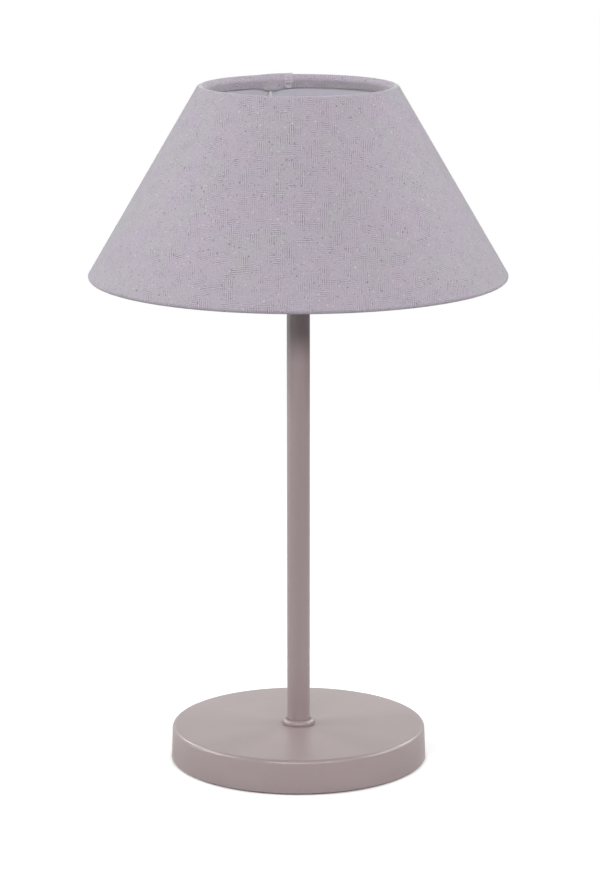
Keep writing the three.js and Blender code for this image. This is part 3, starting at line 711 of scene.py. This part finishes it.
turn_piece("stem_collar_turned", "stand", "paint", "stem_collar", [
    (ROD_HOLE, COLLAR_FOOT),
    (COLLAR_RADIUS, COLLAR_FOOT, 0.25),
    (COLLAR_RADIUS, COLLAR_TOP, 1.6),
    (COLLAR_BORE, COLLAR_TOP, 0.3),
    (COLLAR_BORE, COLLAR_SEAT),
    (ROD_HOLE, COLLAR_SEAT),
], steps=128)
turn_piece("stem_tube_drawn", "stand", "paint", "stem_tube", [
    (STEM_BORE, STEM_FOOT),
    (STEM_RADIUS, STEM_FOOT),
    (STEM_RADIUS, STEM_TOP, 0.2),
    (STEM_BORE, STEM_TOP, 0.2),
], steps=128)
turn_piece("stem_cap_turned", "stand", "paint", "stem_cap", [
    (ROD_HOLE, PLUG_FOOT),
    (PLUG_RADIUS, PLUG_FOOT),
    (PLUG_RADIUS, CAP_FOOT),
    (CAP_RADIUS, CAP_FOOT, 1.0),
    (CAP_RADIUS, CAP_TOP, 1.0),
    (ROD_HOLE, CAP_TOP),
])

# %% [markdown]
# ### The lampholder
#
# Above the stem sits a small Edison screw holder of white plastic: a cap that grips the
# threaded rod, and a skirt with an outside thread. Two fluted ring nuts on that thread clamp
# the shade's fitter between them.

# %% Holder cap
HOLDER_FOOT = 276.7
BOSS_TOP = HOLDER_FOOT + 8.0
INNER_FLOOR = HOLDER_FOOT + 10.7
FLARE_TOP = HOLDER_FOOT + 14.0
HOLDER_CAP_TOP = 298.7
LEDGE = HOLDER_CAP_TOP - 2.1
BOSS_RADIUS = 8.6
SKIRT_RADIUS = measure("holder_skirt")[2]
HOLDER_BORE = SKIRT_RADIUS - 1.8
LEDGE_BORE = HOLDER_BORE - 1.2

turn_piece("holder_cap_moulded", "stand", "white_plastic", "holder_cap", [
    (ROD_HOLE, HOLDER_FOOT),
    (BOSS_RADIUS, HOLDER_FOOT, 0.6),
    (BOSS_RADIUS, BOSS_TOP, 0.8),
    (SKIRT_RADIUS, FLARE_TOP, 1.5),
    (SKIRT_RADIUS, HOLDER_CAP_TOP, 0.4),
    (HOLDER_BORE, HOLDER_CAP_TOP, 0.2),
    (HOLDER_BORE, LEDGE),
    (LEDGE_BORE, LEDGE),
    (LEDGE_BORE, FLARE_TOP, 1.0),
    (BOSS_RADIUS - 1.8, INNER_FLOOR),
    (ROD_HOLE, INNER_FLOOR),
])

# %% Holder skirt
SKIRT_FOOT = 298.8
SKIRT_RIM = 330.8
SKIRT_BORE = SKIRT_RADIUS - 2.6
THREAD_FOOT = SKIRT_FOOT + 2.0
THREAD_END = SKIRT_RIM - 3.0
THREAD_PITCH = 2.0
THREAD_DEPTH = 0.35
# depth, height and rounding of the corners of one groove
GROOVE = [(0.0, 0.0, 0.15), (THREAD_DEPTH, 0.6, 0.1), (THREAD_DEPTH, 1.2, 0.1), (0.0, 1.8, 0.15)]

thread = []
for groove in range(int((THREAD_END - THREAD_FOOT) / THREAD_PITCH)):
    crest = THREAD_FOOT + groove * THREAD_PITCH
    thread += [(SKIRT_RADIUS - depth, crest + up, rounding) for depth, up, rounding in GROOVE]
turn_piece("holder_skirt_moulded", "stand", "white_plastic", "holder_skirt", [
    (SKIRT_BORE, SKIRT_FOOT),
    (SKIRT_RADIUS, SKIRT_FOOT, 0.3),
    *thread,
    (SKIRT_RADIUS, SKIRT_RIM, 0.9),
    (SKIRT_BORE, SKIRT_RIM, 0.5),
])

# %% Ring nuts
RING_BORE = SKIRT_RADIUS + 0.3
RING_RADIUS = RING_BORE + 6.0
FLUTES = 16
FLUTE_STEPS = 12
FLUTE_DEPTH = 0.7
BORE_EDGE = 0.4


def ring_section(bore, radius, foot, top, edge):
    """Section of a flat ring with its outer edges rounded by edge."""
    return [(bore, foot, BORE_EDGE), (radius, foot, edge), (radius, top, edge),
            (bore, top, BORE_EDGE)]


def make_ring_nut(node):
    """A turned ring whose outside is then drawn in between its flutes."""
    foot, top, _ = measure(node)
    nut = turned(ring_section(RING_BORE, RING_RADIUS, foot, top, 1.0), FLUTES * FLUTE_STEPS)
    for vert in nut.verts:
        radius = Vector((vert.co.x, vert.co.y)).length
        if radius > (RING_BORE + RING_RADIUS) / 2 * MM:
            wave = (1 - math.cos(FLUTES * math.atan2(vert.co.y, vert.co.x))) / 2
            drawn_in = 1 - FLUTE_DEPTH * MM * wave / radius
            vert.co = Vector((vert.co.x * drawn_in, vert.co.y * drawn_in, vert.co.z))
    bmesh.ops.recalc_face_normals(nut, faces=nut.faces)
    keep(nut, node + "_moulded", "stand", "white_plastic", [node])


for node in ("lower_shade_ring", "upper_shade_ring"):
    make_ring_nut(node)

# %% [markdown]
# ### The bulb
#
# The bulb is an LED globe: a plastic housing that flares out of the screw shell, and an opal
# globe that stands on it. Both are turned. The globe's section is an arc, made by spinning one
# vertex round the middle of the globe, and given a wall by Solidify.

# %% Bulb housing
HOUSING_RADIUS = 17.2
NECK_RADIUS = 8.5
CORE_RADIUS = 5.3
HOUSING_FOOT, HOUSING_TOP, _ = measure("bulb_housing")
NECK_FOOT = measure("bulb_shell")[1] + 0.1

turn_piece("bulb_housing_moulded", "bulb", "white_plastic", "bulb_housing", [
    (0, HOUSING_FOOT),
    (CORE_RADIUS, HOUSING_FOOT),
    (CORE_RADIUS, NECK_FOOT),
    (NECK_RADIUS, NECK_FOOT, 0.5),
    (NECK_RADIUS + 0.1, NECK_FOOT + 3.0),
    (NECK_RADIUS + 0.9, NECK_FOOT + 9.0, 12.0),
    (HOUSING_RADIUS - 2.4, HOUSING_TOP - 9.0, 14.0),
    (HOUSING_RADIUS, HOUSING_TOP, 0.25),
    (0, HOUSING_TOP),
])

# %% Globe
GLOBE_RADIUS = 22.5
GLOBE_WALL = 1.2
GLOBE_STEPS = 40
GLOBE_MOUTH = HOUSING_RADIUS - 0.6
GLOBE_TOP = measure("bulb_globe")[1]
GLOBE_MIDDLE = GLOBE_TOP - GLOBE_RADIUS


def make_globe():
    bm = bmesh.new()
    pole = bm.verts.new(UP * GLOBE_TOP * MM)
    middle = UP * GLOBE_MIDDLE * MM
    bmesh.ops.spin(bm, geom=[pole], axis=(0, 1, 0), cent=middle,
                   angle=math.pi / 2 + math.acos(GLOBE_MOUTH / GLOBE_RADIUS),
                   steps=GLOBE_STEPS)
    spin_round(bm, ROUND_STEPS)
    face_away(bm, middle)
    bmesh.ops.solidify(bm, geom=bm.faces[:], thickness=GLOBE_WALL * MM)
    keep(bm, "bulb_globe_blown", "bulb", "opal", ["bulb_globe"])


make_globe()

# %% [markdown]
# ## The shade's shape
#
# The shade is a cone. Its slope would reach its planes at two sharp corners, but the cloth
# rolls round a wire ring at the top and a thinner one at the bottom, and ends inside as a hem.
# These numbers give the slope, and the middle and radius of each roll, in the plane of radius
# and height. The top hem's edge is tucked back against the wall, but where one of the three
# wires of the frame runs behind it, the hem lies over the wire.

# %% Work out the slope and the two rolls
SHADE_TOP_RADIUS = 57.1
SHADE_BOTTOM_RADIUS = 121.8
SHADE_HEIGHT = 110.6
SHADE_TOP_PLANE = 397.8
SHADE_FOOT_PLANE = SHADE_TOP_PLANE - SHADE_HEIGHT
CLOTH = 0.5
TOP_ROLL = 2.3
BOTTOM_ROLL = 1.6
HEM = 8.0
TOP_HEM = 6.6
HEM_TUCK = math.radians(15.0)
ARM_ANGLES = [105.6, 225.6, 345.6]

slope = math.atan2(SHADE_BOTTOM_RADIUS - SHADE_TOP_RADIUS, SHADE_HEIGHT)
uphill = Vector((-math.sin(slope), 0, math.cos(slope)))
outwards = Vector((math.cos(slope), 0, math.sin(slope)))


def roll_middle(radius, plane, side, roll):
    """Middle of a roll that touches the slope and the plane, below it (1) or above it (-1)."""
    inwards = side * roll * math.tan(slope) - roll / math.cos(slope)
    return Vector((radius + inwards, 0, plane - side * roll))


top_middle = roll_middle(SHADE_TOP_RADIUS, SHADE_TOP_PLANE, 1, TOP_ROLL)
bottom_middle = roll_middle(SHADE_BOTTOM_RADIUS, SHADE_FOOT_PLANE, -1, BOTTOM_ROLL)
print("slope", round(math.degrees(slope), 2), "degrees")

# %% [markdown]
# ### The cloth's material
#
# The cloth looks like linen: slubby threads both ways, in lilac and grey, with a bright nub or
# a dark fleck here and there. The pattern follows the cut of the cloth. A cone unrolls into a
# flat fan and the threads run straight across it, so the piece gets a UV map of the fan in
# metres. Each thread is light in one short run and darker in the next, so a run gets its tone
# from two numbers: the thread's and its own. In one patch the upright threads stand out, in the
# next the level ones, and slow noise chooses. A light sheen lifts the flanks, as on real cloth.

# %% Runs of thread
def make_thread_runs():
    """Light threads and dark gaps along Y. In each short run they are strong or faint."""
    inputs = {"Place": "Vector", "Thread": "Float", "Run": "Float"}
    group, given = new_effect("thread_runs", inputs, {"Tone": "Float"})
    spot = put(group, "ShaderNodeSeparateXYZ", {0: given["Place"]})
    across = maths(group, "DIVIDE", spot["X"], given["Thread"])
    thread = maths(group, "FLOOR", across)
    own = put(group, "ShaderNodeTexWhiteNoise", {"W": thread}, noise_dimensions="1D")["Value"]
    length = maths(group, "MULTIPLY", given["Run"], spread(group, own, 0.0, 1.0, 0.6, 1.5))
    run = maths(group, "FLOOR", plus(group, maths(group, "DIVIDE", spot["Y"], length), own, 61.0))
    cell = put(group, "ShaderNodeCombineXYZ", {"X": thread, "Y": run})[0]
    depth = put(group, "ShaderNodeTexWhiteNoise", {"Vector": cell}, noise_dimensions="2D")["Value"]
    ridge = spread(group, maths(group, "PINGPONG", across, 0.5), 0.12, 0.50, -0.5, 0.5)
    wave = maths(group, "MULTIPLY", ridge, spread(group, depth, 0.25, 0.85))
    return end_effect(group, Tone=plus(group, 0.5, wave))


thread_runs = make_thread_runs()

# %% Woven cloth effect
CLOTH_THREAD = 0.0012
CLOTH_RUN = 0.0034


def runs(tree, place, turn):
    """The tone of the runs, with the threads turned about Z."""
    turned_place = put(tree, "ShaderNodeMapping", {"Vector": place, "Rotation": (0, 0, turn)})[0]
    inputs = {"Place": turned_place, "Thread": CLOTH_THREAD, "Run": CLOTH_RUN}
    return put(tree, "ShaderNodeGroup", inputs, node_tree=thread_runs)["Tone"]


def make_woven_linen():
    group, given = new_effect("woven_linen")
    place, tint = given["Place"], given["Tint"]
    choice = spread(group, noise(group, place, 110, detail=1), 0.44, 0.60, 0.05, 0.95)
    calm = spread(group, noise(group, place, 120, detail=1), 0.38, 0.58, 0.1, 1.1)
    fluff = noise(group, place, 900, detail=1)
    cast = noise(group, place, 42, roughness=0.55)
    drift = noise(group, place, 11, detail=1)
    nubs = spread(group, noise(group, place, 780, detail=0), 0.74, 0.82)
    flecks = spread(group, noise(group, place, 720, detail=0), 0.27, 0.20)
    both = {"Factor": choice, "A": runs(group, place, 0.0), "B": runs(group, place, math.pi / 2)}
    rows = put(group, "ShaderNodeMix", both, data_type="FLOAT")[0]
    lively = maths(group, "MULTIPLY", maths(group, "SUBTRACT", rows, 0.5), calm)
    light = plus(group, plus(group, 0.5, lively), fluff, 0.5)
    deep = dyed(group, tint, colour(192, 188, 195))
    pale = blend_colours(group, 0.35, tint, colour(232, 230, 234))
    woven = blend_colours(group, spread(group, light, 0.25, 1.2), deep, pale)
    lilac = dyed(group, woven, colour(254, 249, 255))
    grey = dyed(group, woven, colour(251, 252, 250))
    tinted = blend_colours(group, spread(group, cast, 0.34, 0.66), lilac, grey)
    faded = dyed(group, tinted, colour(247, 246, 247))
    worn = blend_colours(group, spread(group, drift, 0.3, 0.7, 0.0, 0.5), tinted, faded)
    nubbed = blend_colours(group, maths(group, "MULTIPLY", nubs, 0.6), worn, colour(232, 230, 234))
    dark = maths(group, "MULTIPLY", flecks, 0.7)
    return end_effect(
        group,
        Colour=blend_colours(group, dark, nubbed, colour(112, 104, 116)),
        Roughness=plus(group, given["Shine"], spread(group, light, 0.25, 1.2, 0.05, -0.05)),
        Height=plus(group, light, nubs, 0.4),
    )


woven_linen = make_woven_linen()

# %% Cloth finish
CUT_MAP = "cloth_cut"

BY_SLOT["cloth"] = finish("lilac_linen", woven_linen, colour(204, 198, 207), 0.9, 0.25, 0.0002,
                          cut_map=CUT_MAP, sheen_weight=0.35, sheen_roughness=0.35,
                          sheen_tint=(0.94, 1.0, 0.95, 1.0), specular_ior_level=0.1)
print("finish:", BY_SLOT["cloth"].name)

# %% [markdown]
# ### The cloth itself
#
# The real shade is one fan of laminated cloth, bent into a cone, lapped at the back and turned
# over both rings. It is made the same way here. One vertex becomes the section: extruded down
# the hem, spun round each roll and extruded along the slope. The section is then spun about the
# lamp's axis, a little more than a full turn, so that the last strip lies on top of the first.
# Solidify gives the cloth its thickness.

# %% Draw the cloth's section
SLOPE_CUTS = 36
ROLL_STEPS = 16
BOTTOM_HEM_CUTS = 4
TOP_HEM_CUTS = 5


def first_of(made, kind):
    """The first point or face of what an operator has just made."""
    return next(g for g in made if isinstance(g, kind))


def go_straight(bm, tip, way, steps):
    for _ in range(steps):
        tip = bmesh.ops.extrude_vert_indiv(bm, verts=[tip])["verts"][0]
        bmesh.ops.translate(bm, verts=[tip], vec=way / steps)
    return tip


def go_round(bm, tip, middle, angle):
    made = bmesh.ops.spin(bm, geom=[tip], axis=(0, 1, 0), cent=middle * MM, angle=angle,
                          steps=ROLL_STEPS)
    return first_of(made["geom_last"], bmesh.types.BMVert)


def draw_cloth_section(bm):
    """One line from the bottom hem's edge to the top hem's edge, inside, round and over."""
    start = (bottom_middle - outwards * BOTTOM_ROLL + uphill * HEM) * MM
    first = bm.verts.new(start)
    tip = go_straight(bm, first, -uphill * HEM * MM, BOTTOM_HEM_CUTS)
    tip = go_round(bm, tip, bottom_middle, -math.pi)
    slope_start = tip.co.copy()
    top_touch = (top_middle + outwards * TOP_ROLL) * MM
    tip = go_straight(bm, tip, top_touch - tip.co, SLOPE_CUTS)
    tip = go_round(bm, tip, top_middle, -math.pi - HEM_TUCK)
    tuck = Matrix.Rotation(-HEM_TUCK, 3, "Y")
    go_straight(bm, tip, tuck @ -uphill * TOP_HEM * MM, TOP_HEM_CUTS)
    return first, slope_start


# %% [markdown]
# Each point keeps how far along the section it lies, in a layer of its own, so that after the
# spin every point of the cone can be unrolled into the flat fan that the cloth was cut as. The
# last strip is then lifted over the first, and its free edge gets a little rough.

# %% Bend the cloth into a cone
SPIN_STEP = math.radians(1.5)
LAP = math.radians(9.0)
LAP_ANGLE = math.radians(94.0)
LAP_LIFT = 0.55
LAP_RAMP = math.radians(15.0)
WIRE_CLOSE = 2.0
WIRE_NEAR = 8.0
FRAY = 0.22
FAN_SHARE = math.sin(slope)
SPIN_COUNT = round((2 * math.pi + LAP) / SPIN_STEP)
START_ANGLE = LAP_ANGLE + LAP

cloth_dice = random.Random(7)


def turn_about_axis(bm, angle):
    bmesh.ops.rotate(bm, verts=bm.verts, cent=MIDDLE, matrix=Matrix.Rotation(angle, 3, "Z"))


def ease(share):
    """A smooth way from 0 to 1."""
    share = min(max(share, 0.0), 1.0)
    return share * share * (3 - 2 * share)


def measure_section(first, layer):
    """Writes into each point how far along the section it lies, in metres."""
    edge, vert, reach = None, first, 0.0
    while True:
        vert[layer] = reach
        onward = [e for e in vert.link_edges if e is not edge]
        if not onward:
            return reach
        edge = onward[0]
        reach += edge.calc_length()
        vert = edge.other_vert(vert)


def fan_point(slant, angle):
    """Where a point of the cone lies on the flat cut, for its distance from the cone's tip."""
    swing = (angle + math.pi / 2) * FAN_SHARE
    return slant * math.sin(swing), -slant * math.cos(swing)


def make_cloth_panel():
    bm = bmesh.new()
    along = bm.verts.layers.float.new("along")
    cut_map = bm.loops.layers.uv.new(CUT_MAP)
    first, slope_start = draw_cloth_section(bm)
    reach = measure_section(first, along)
    cut_radius = slope_start.x / FAN_SHARE + (HEM + math.pi * BOTTOM_ROLL) * MM
    row = len(bm.verts)
    turn_about_axis(bm, START_ANGLE)
    bmesh.ops.spin(bm, geom=bm.verts[:] + bm.edges[:], axis=UP, cent=MIDDLE,
                   angle=-SPIN_COUNT * SPIN_STEP, steps=SPIN_COUNT, use_merge=False)
    bm.verts.index_update()
    face_away(bm, UP * SHADE_FOOT_PLANE * MM)
    angles = {v: START_ANGLE - (v.index // row) * SPIN_STEP for v in bm.verts}
    fans = {v: fan_point(cut_radius - v[along], angles[v]) for v in bm.verts}
    for face in bm.faces:
        for loop in face.loops:
            loop[cut_map].uv = fans[loop.vert]
    lay_hem_on_wires(bm, angles, along, reach - TOP_HEM * MM)
    lap_the_end(bm, angles, row)
    print("cut:", round(cut_radius / MM, 1), "mm from the tip,", row, "points a row")
    return bm, reach, cut_radius


def lay_hem_on_wires(bm, angles, along, hem_start):
    """Lets the tuck out of the top hem near each wire."""
    for vert in bm.verts:
        down = vert[along] - hem_start
        if down <= 0:
            continue
        off = min(abs((math.degrees(angles[vert]) - arm + 180) % 360 - 180) for arm in ARM_ANGLES)
        share = 1 - ease((off - WIRE_CLOSE) / (WIRE_NEAR - WIRE_CLOSE))
        inwards = Matrix.Rotation(angles[vert], 3, "Z") @ -outwards
        vert.co += inwards * down * math.sin(HEM_TUCK) * share


def lap_the_end(bm, angles, row):
    """Lifts the last strip over the first and roughens its free edge."""
    end_angle = START_ANGLE - SPIN_COUNT * SPIN_STEP
    for vert in bm.verts:
        share = 1 - ease((angles[vert] - end_angle - LAP) / LAP_RAMP)
        vert.co += vert.normal * share * LAP_LIFT * MM
        if vert.index // row == SPIN_COUNT:
            ahead = UP.cross(vert.co).normalized()
            vert.co += ahead * cloth_dice.uniform(-FRAY, FRAY) * MM


panel, panel_reach, cut_radius = make_cloth_panel()
shade_cloth = keep(panel, "shade_cloth_panel", "shade", "cloth", ["shade_cloth"], crease=60)
wall = shade_cloth.modifiers.new("cloth_thickness", "SOLIDIFY")
wall.thickness = CLOTH * MM
wall.offset = -1

# %% [markdown]
# ### The frayed edge of the lap
#
# The lap's cut edge isn't hemmed. Its outermost upright threads have come away, and the ends of
# the level threads lie bare between the two that are left, like the rungs of a ladder. Each
# thread is a small circle, extruded from point to point. The points are those of the cloth's
# last column, turned back round the lamp.

# %% Lay a thread along some points
THREAD = 0.20
RAIL_THREAD = THREAD * 1.15
THREAD_SIDES = 6


def run_on(bm, end, way):
    made = bmesh.ops.extrude_face_region(bm, geom=[end])["geom"]
    fresh = first_of(made, bmesh.types.BMFace)
    bmesh.ops.translate(bm, verts=fresh.verts, vec=way)
    return fresh


def start_tube(bm, spots, radius, sides):
    """A disc at the first spot that faces the second. Its face is the end that runs on."""
    way = (spots[1] - spots[0]).to_track_quat("Z", "Y").to_matrix().to_4x4()
    made = bmesh.ops.create_circle(bm, cap_ends=True, segments=sides, radius=radius,
                                   matrix=Matrix.Translation(spots[0]) @ way)
    return made["verts"][0].link_faces[0]


def lay_thread(bm, spots, thickness):
    end = start_tube(bm, spots, thickness, THREAD_SIDES)
    for here, there in zip(spots, spots[1:]):
        end = run_on(bm, end, there - here)


# %% Fray the lap
LADDER = 3.7
RUNG_SPACING = 0.95
RUNGS_LOST = 0.18
RUNG_CUTS = 3
RUNG_START = (0.0, 0.9)
RUNG_STOP = (-0.5, 0.3)
RUNG_LEAN = 0.25
RUNG_LIFT = 0.05
RUNG_ARCH = 0.12
RUNG_SHARES = (0.6, 1.0)
RAILS = (0.25, LADDER)
RAIL_SPACING = 2.2
RAIL_LIFT = 0.10
RAIL_WANDER = 0.14
UNEVEN = (0.7, 1.3)


def edge_points(spacing):
    """Points along the cloth's last column, evenly spaced, each with the way out of the cloth."""
    mesh = shade_cloth.data
    row = len(mesh.vertices) // (SPIN_COUNT + 1)
    column = [v for v in mesh.vertices if v.index >= SPIN_COUNT * row]
    found, walked, wanted = [], 0.0, 0.0
    for here, there in zip(column, column[1:]):
        step = there.co - here.co
        while wanted < walked + step.length:
            share = (wanted - walked) / step.length
            out = here.normal.lerp(there.normal, share).normalized()
            found.append((here.co + step * share, out))
            wanted += spacing * cloth_dice.uniform(*UNEVEN)
        walked += step.length
    return found


def back_along(point, out, distance, lift):
    """A point of the cloth's surface some way back from the edge, lifted off it."""
    turn = Matrix.Rotation(distance / Vector((point.x, point.y)).length, 3, "Z")
    return turn @ (point + out * lift)


def lay_rungs(bm):
    """Each rung starts beyond the edge, arches up a little, and ends near the second rail."""
    for point, out in edge_points(RUNG_SPACING * MM):
        if cloth_dice.random() < RUNGS_LOST:
            continue
        start = -cloth_dice.uniform(*RUNG_START) * MM
        stop = (LADDER + cloth_dice.uniform(*RUNG_STOP)) * MM
        lean = cloth_dice.uniform(-RUNG_LEAN, RUNG_LEAN) * MM
        spots = []
        for cut in range(RUNG_CUTS + 1):
            share = cut / RUNG_CUTS
            lift = (RUNG_LIFT + RUNG_ARCH * math.sin(math.pi * share)) * MM
            spot = back_along(point, out, start + (stop - start) * share, lift)
            spots.append(spot + Vector((0, 0, lean * share)))
        lay_thread(bm, spots, THREAD * cloth_dice.uniform(*RUNG_SHARES) * MM)


def lay_rail(bm, distance):
    spots = []
    for point, out in edge_points(RAIL_SPACING * MM):
        wander = cloth_dice.uniform(-RAIL_WANDER, RAIL_WANDER)
        spots.append(back_along(point, out, (distance + wander) * MM, RAIL_LIFT * MM))
    lay_thread(bm, spots, RAIL_THREAD * MM)


fray_thread = finish("pale_thread", moulded_grain, colour(222, 219, 225), 0.8, 0.3, 0.00005)
ladder = bmesh.new()
lay_rungs(ladder)
for distance in RAILS:
    lay_rail(ladder, distance)
bmesh.ops.recalc_face_normals(ladder, faces=ladder.faces)
frayed = keep(ladder, "frayed_threads", "shade", "cloth", [], crease=80, material=fray_thread)

# %% [markdown]
# ### The cut of the cloth
#
# The cloth was cut as a fan: a slice of a disc with the round middle taken out. The slice's
# angle is that of the full turn and the lap, as far as the slope lets the cone unroll.

# %% [markdown]
# ### The lining
#
# Such cloth is laminated to a sheet of white plastic, which stiffens it. From inside one sees
# only this sheet, pale and a little glossy, between the two hems. It is a thin turned cone, and
# its shader scatters a little of the light that comes through.

# %% Lining finish and piece
LINING = 0.5
LINING_GAP = 0.3
WIRE_GAP = 0.3
TOP_WIRE = 1.5
BOTTOM_WIRE = 0.8

BY_SLOT["liner"] = finish("lining_sheet", moulded_grain, colour(214, 209, 220), 0.42, 0.12,
                          0.00004, subsurface_weight=0.2, subsurface_scale=0.003)


def on_slope(middle, along, outward):
    """Radius and height of a point up the slope and out from the middle of a roll."""
    point = middle + uphill * along + outwards * outward
    return point.x, point.z


def thin_cone(bottom_stop, top_stop, depth, thickness):
    """Section of a sheet on the inside of the cloth, between the two rolls."""
    bottom_face = BOTTOM_ROLL - CLOTH - depth
    top_face = TOP_ROLL - CLOTH - depth
    return [
        on_slope(bottom_middle, bottom_stop, bottom_face - thickness),
        on_slope(bottom_middle, bottom_stop, bottom_face),
        on_slope(top_middle, -top_stop, top_face),
        on_slope(top_middle, -top_stop, top_face - thickness),
    ]


lining = thin_cone(BOTTOM_WIRE + WIRE_GAP, TOP_WIRE + WIRE_GAP, LINING_GAP, LINING)
turn_piece("shade_lining", "shade", "liner", "shade_liner", lining, steps=192)

# %% [markdown]
# ### The tape over the seam
#
# Inside, a strip of the same white sheet is glued over the lap. It is as wide at the top as at
# the bottom, so it starts as a flat strip across the back, and each of its points is moved out
# until it touches the cone.

# %% Seam tape
TAPE_LEFT = -12.4
TAPE_RIGHT = -2.0
TAPE = 0.35
TAPE_STOP = HEM + 0.3
TAPE_COLUMNS = 8
TAPE_ROWS = 40


def make_seam_tape():
    inner = thin_cone(TAPE_STOP, TAPE_STOP, 2 * LINING_GAP + LINING, TAPE)
    foot, head = Vector(inner[1]), Vector(inner[2])
    bm = bmesh.new()
    bmesh.ops.create_grid(bm, x_segments=TAPE_COLUMNS, y_segments=TAPE_ROWS, size=0.5)
    for vert in bm.verts:
        across = TAPE_LEFT + (vert.co.x + 0.5) * (TAPE_RIGHT - TAPE_LEFT)
        radius, height = foot.lerp(head, vert.co.y + 0.5)
        vert.co = Vector((across, math.sqrt(radius ** 2 - across ** 2), height)) * MM
    bmesh.ops.recalc_face_normals(bm, faces=bm.faces)
    face_away(bm, UP * SHADE_FOOT_PLANE * MM)
    bmesh.ops.solidify(bm, geom=bm.faces[:], thickness=TAPE * MM)
    keep(bm, "seam_tape_strip", "shade", "liner", ["seam_tape"])


make_seam_tape()

# %% [markdown]
# ### The wire spider
#
# Three enamelled wires carry the shade. Each runs down between the lining and the top hem,
# bends, slants in to the fitter, bends again and ends level against its edge, where it is
# welded. A wire is a circle that is extruded along the straight runs and spun round each bend.

# %% Bend a wire
WIRE_SIDES = 16
BEND_STEPS = 8


def spin_end(bm, end, middle, axis, turn):
    made = bmesh.ops.spin(bm, geom=[end], cent=middle, axis=axis, angle=turn, steps=BEND_STEPS)
    return first_of(made["geom_last"], bmesh.types.BMFace)


def bent_wire(points, wire, bend):
    """A round wire through points (radius, height), in millimetres, in the plane y = 0."""
    spots = [Vector((r, 0, z)) * MM for r, z in points]
    bm = bmesh.new()
    end, at = start_tube(bm, spots, wire * MM, WIRE_SIDES), spots[0]
    for before, corner, after in zip(spots, spots[1:], spots[2:]):
        way_in = (corner - before).normalized()
        way_out = (after - corner).normalized()
        turn = way_in.angle(way_out)
        short = bend * MM * math.tan(turn / 2)
        stop = corner - way_in * short
        end = run_on(bm, end, stop - at)
        axis = way_in.cross(way_out).normalized()
        end = spin_end(bm, end, stop + axis.cross(way_in) * bend * MM, axis, turn)
        at = corner + way_out * short
    run_on(bm, end, spots[-1] - at)
    bmesh.ops.remove_doubles(bm, verts=bm.verts, dist=TOUCHING)
    bmesh.ops.recalc_face_normals(bm, faces=bm.faces)
    return bm


# %% The three wires
ARM_WIRE = 1.1
ARM_BEND = 10.0
ARM_STRAIGHT = HEM + 6.0
ARM_FOOT = 8.0
FITTER_FOOT, FITTER_TOP, FITTER_RADIUS = measure("fitter_ring")
ARM_END = FITTER_RADIUS - 0.2
WELD_RADIUS = FITTER_RADIUS + 0.3
WELD = ARM_WIRE * 1.25
WELD_SHAPE = (1.5, 1.0, 0.8)


def make_arm(number, angle):
    lean = -(LINING + LINING_GAP) / 2
    level = (FITTER_FOOT + FITTER_TOP) / 2
    bm = bent_wire([
        on_slope(top_middle, -TOP_WIRE - WIRE_GAP, lean),
        on_slope(top_middle, -ARM_STRAIGHT, lean),
        (WELD_RADIUS + ARM_FOOT, level),
        (ARM_END, level),
    ], ARM_WIRE, ARM_BEND)
    weld = bmesh.ops.create_uvsphere(bm, u_segments=16, v_segments=10, radius=WELD * MM)["verts"]
    bmesh.ops.scale(bm, verts=weld, vec=WELD_SHAPE)
    bmesh.ops.translate(bm, verts=weld, vec=Vector((WELD_RADIUS, 0, level)) * MM)
    turn_about_axis(bm, math.radians(angle))
    keep(bm, f"spider_wire_{number}", "shade", "white_wire", [f"spider_arm_{number}"])


for number, angle in enumerate(ARM_ANGLES, start=1):
    make_arm(number, angle)

# %% Fitter
FITTER_BORE = FITTER_RADIUS - 8.0

fitter = ring_section(FITTER_BORE, FITTER_RADIUS, FITTER_FOOT, FITTER_TOP, 0.6)
turn_piece("fitter_stamped", "shade", "white_wire", "fitter_ring", fitter)
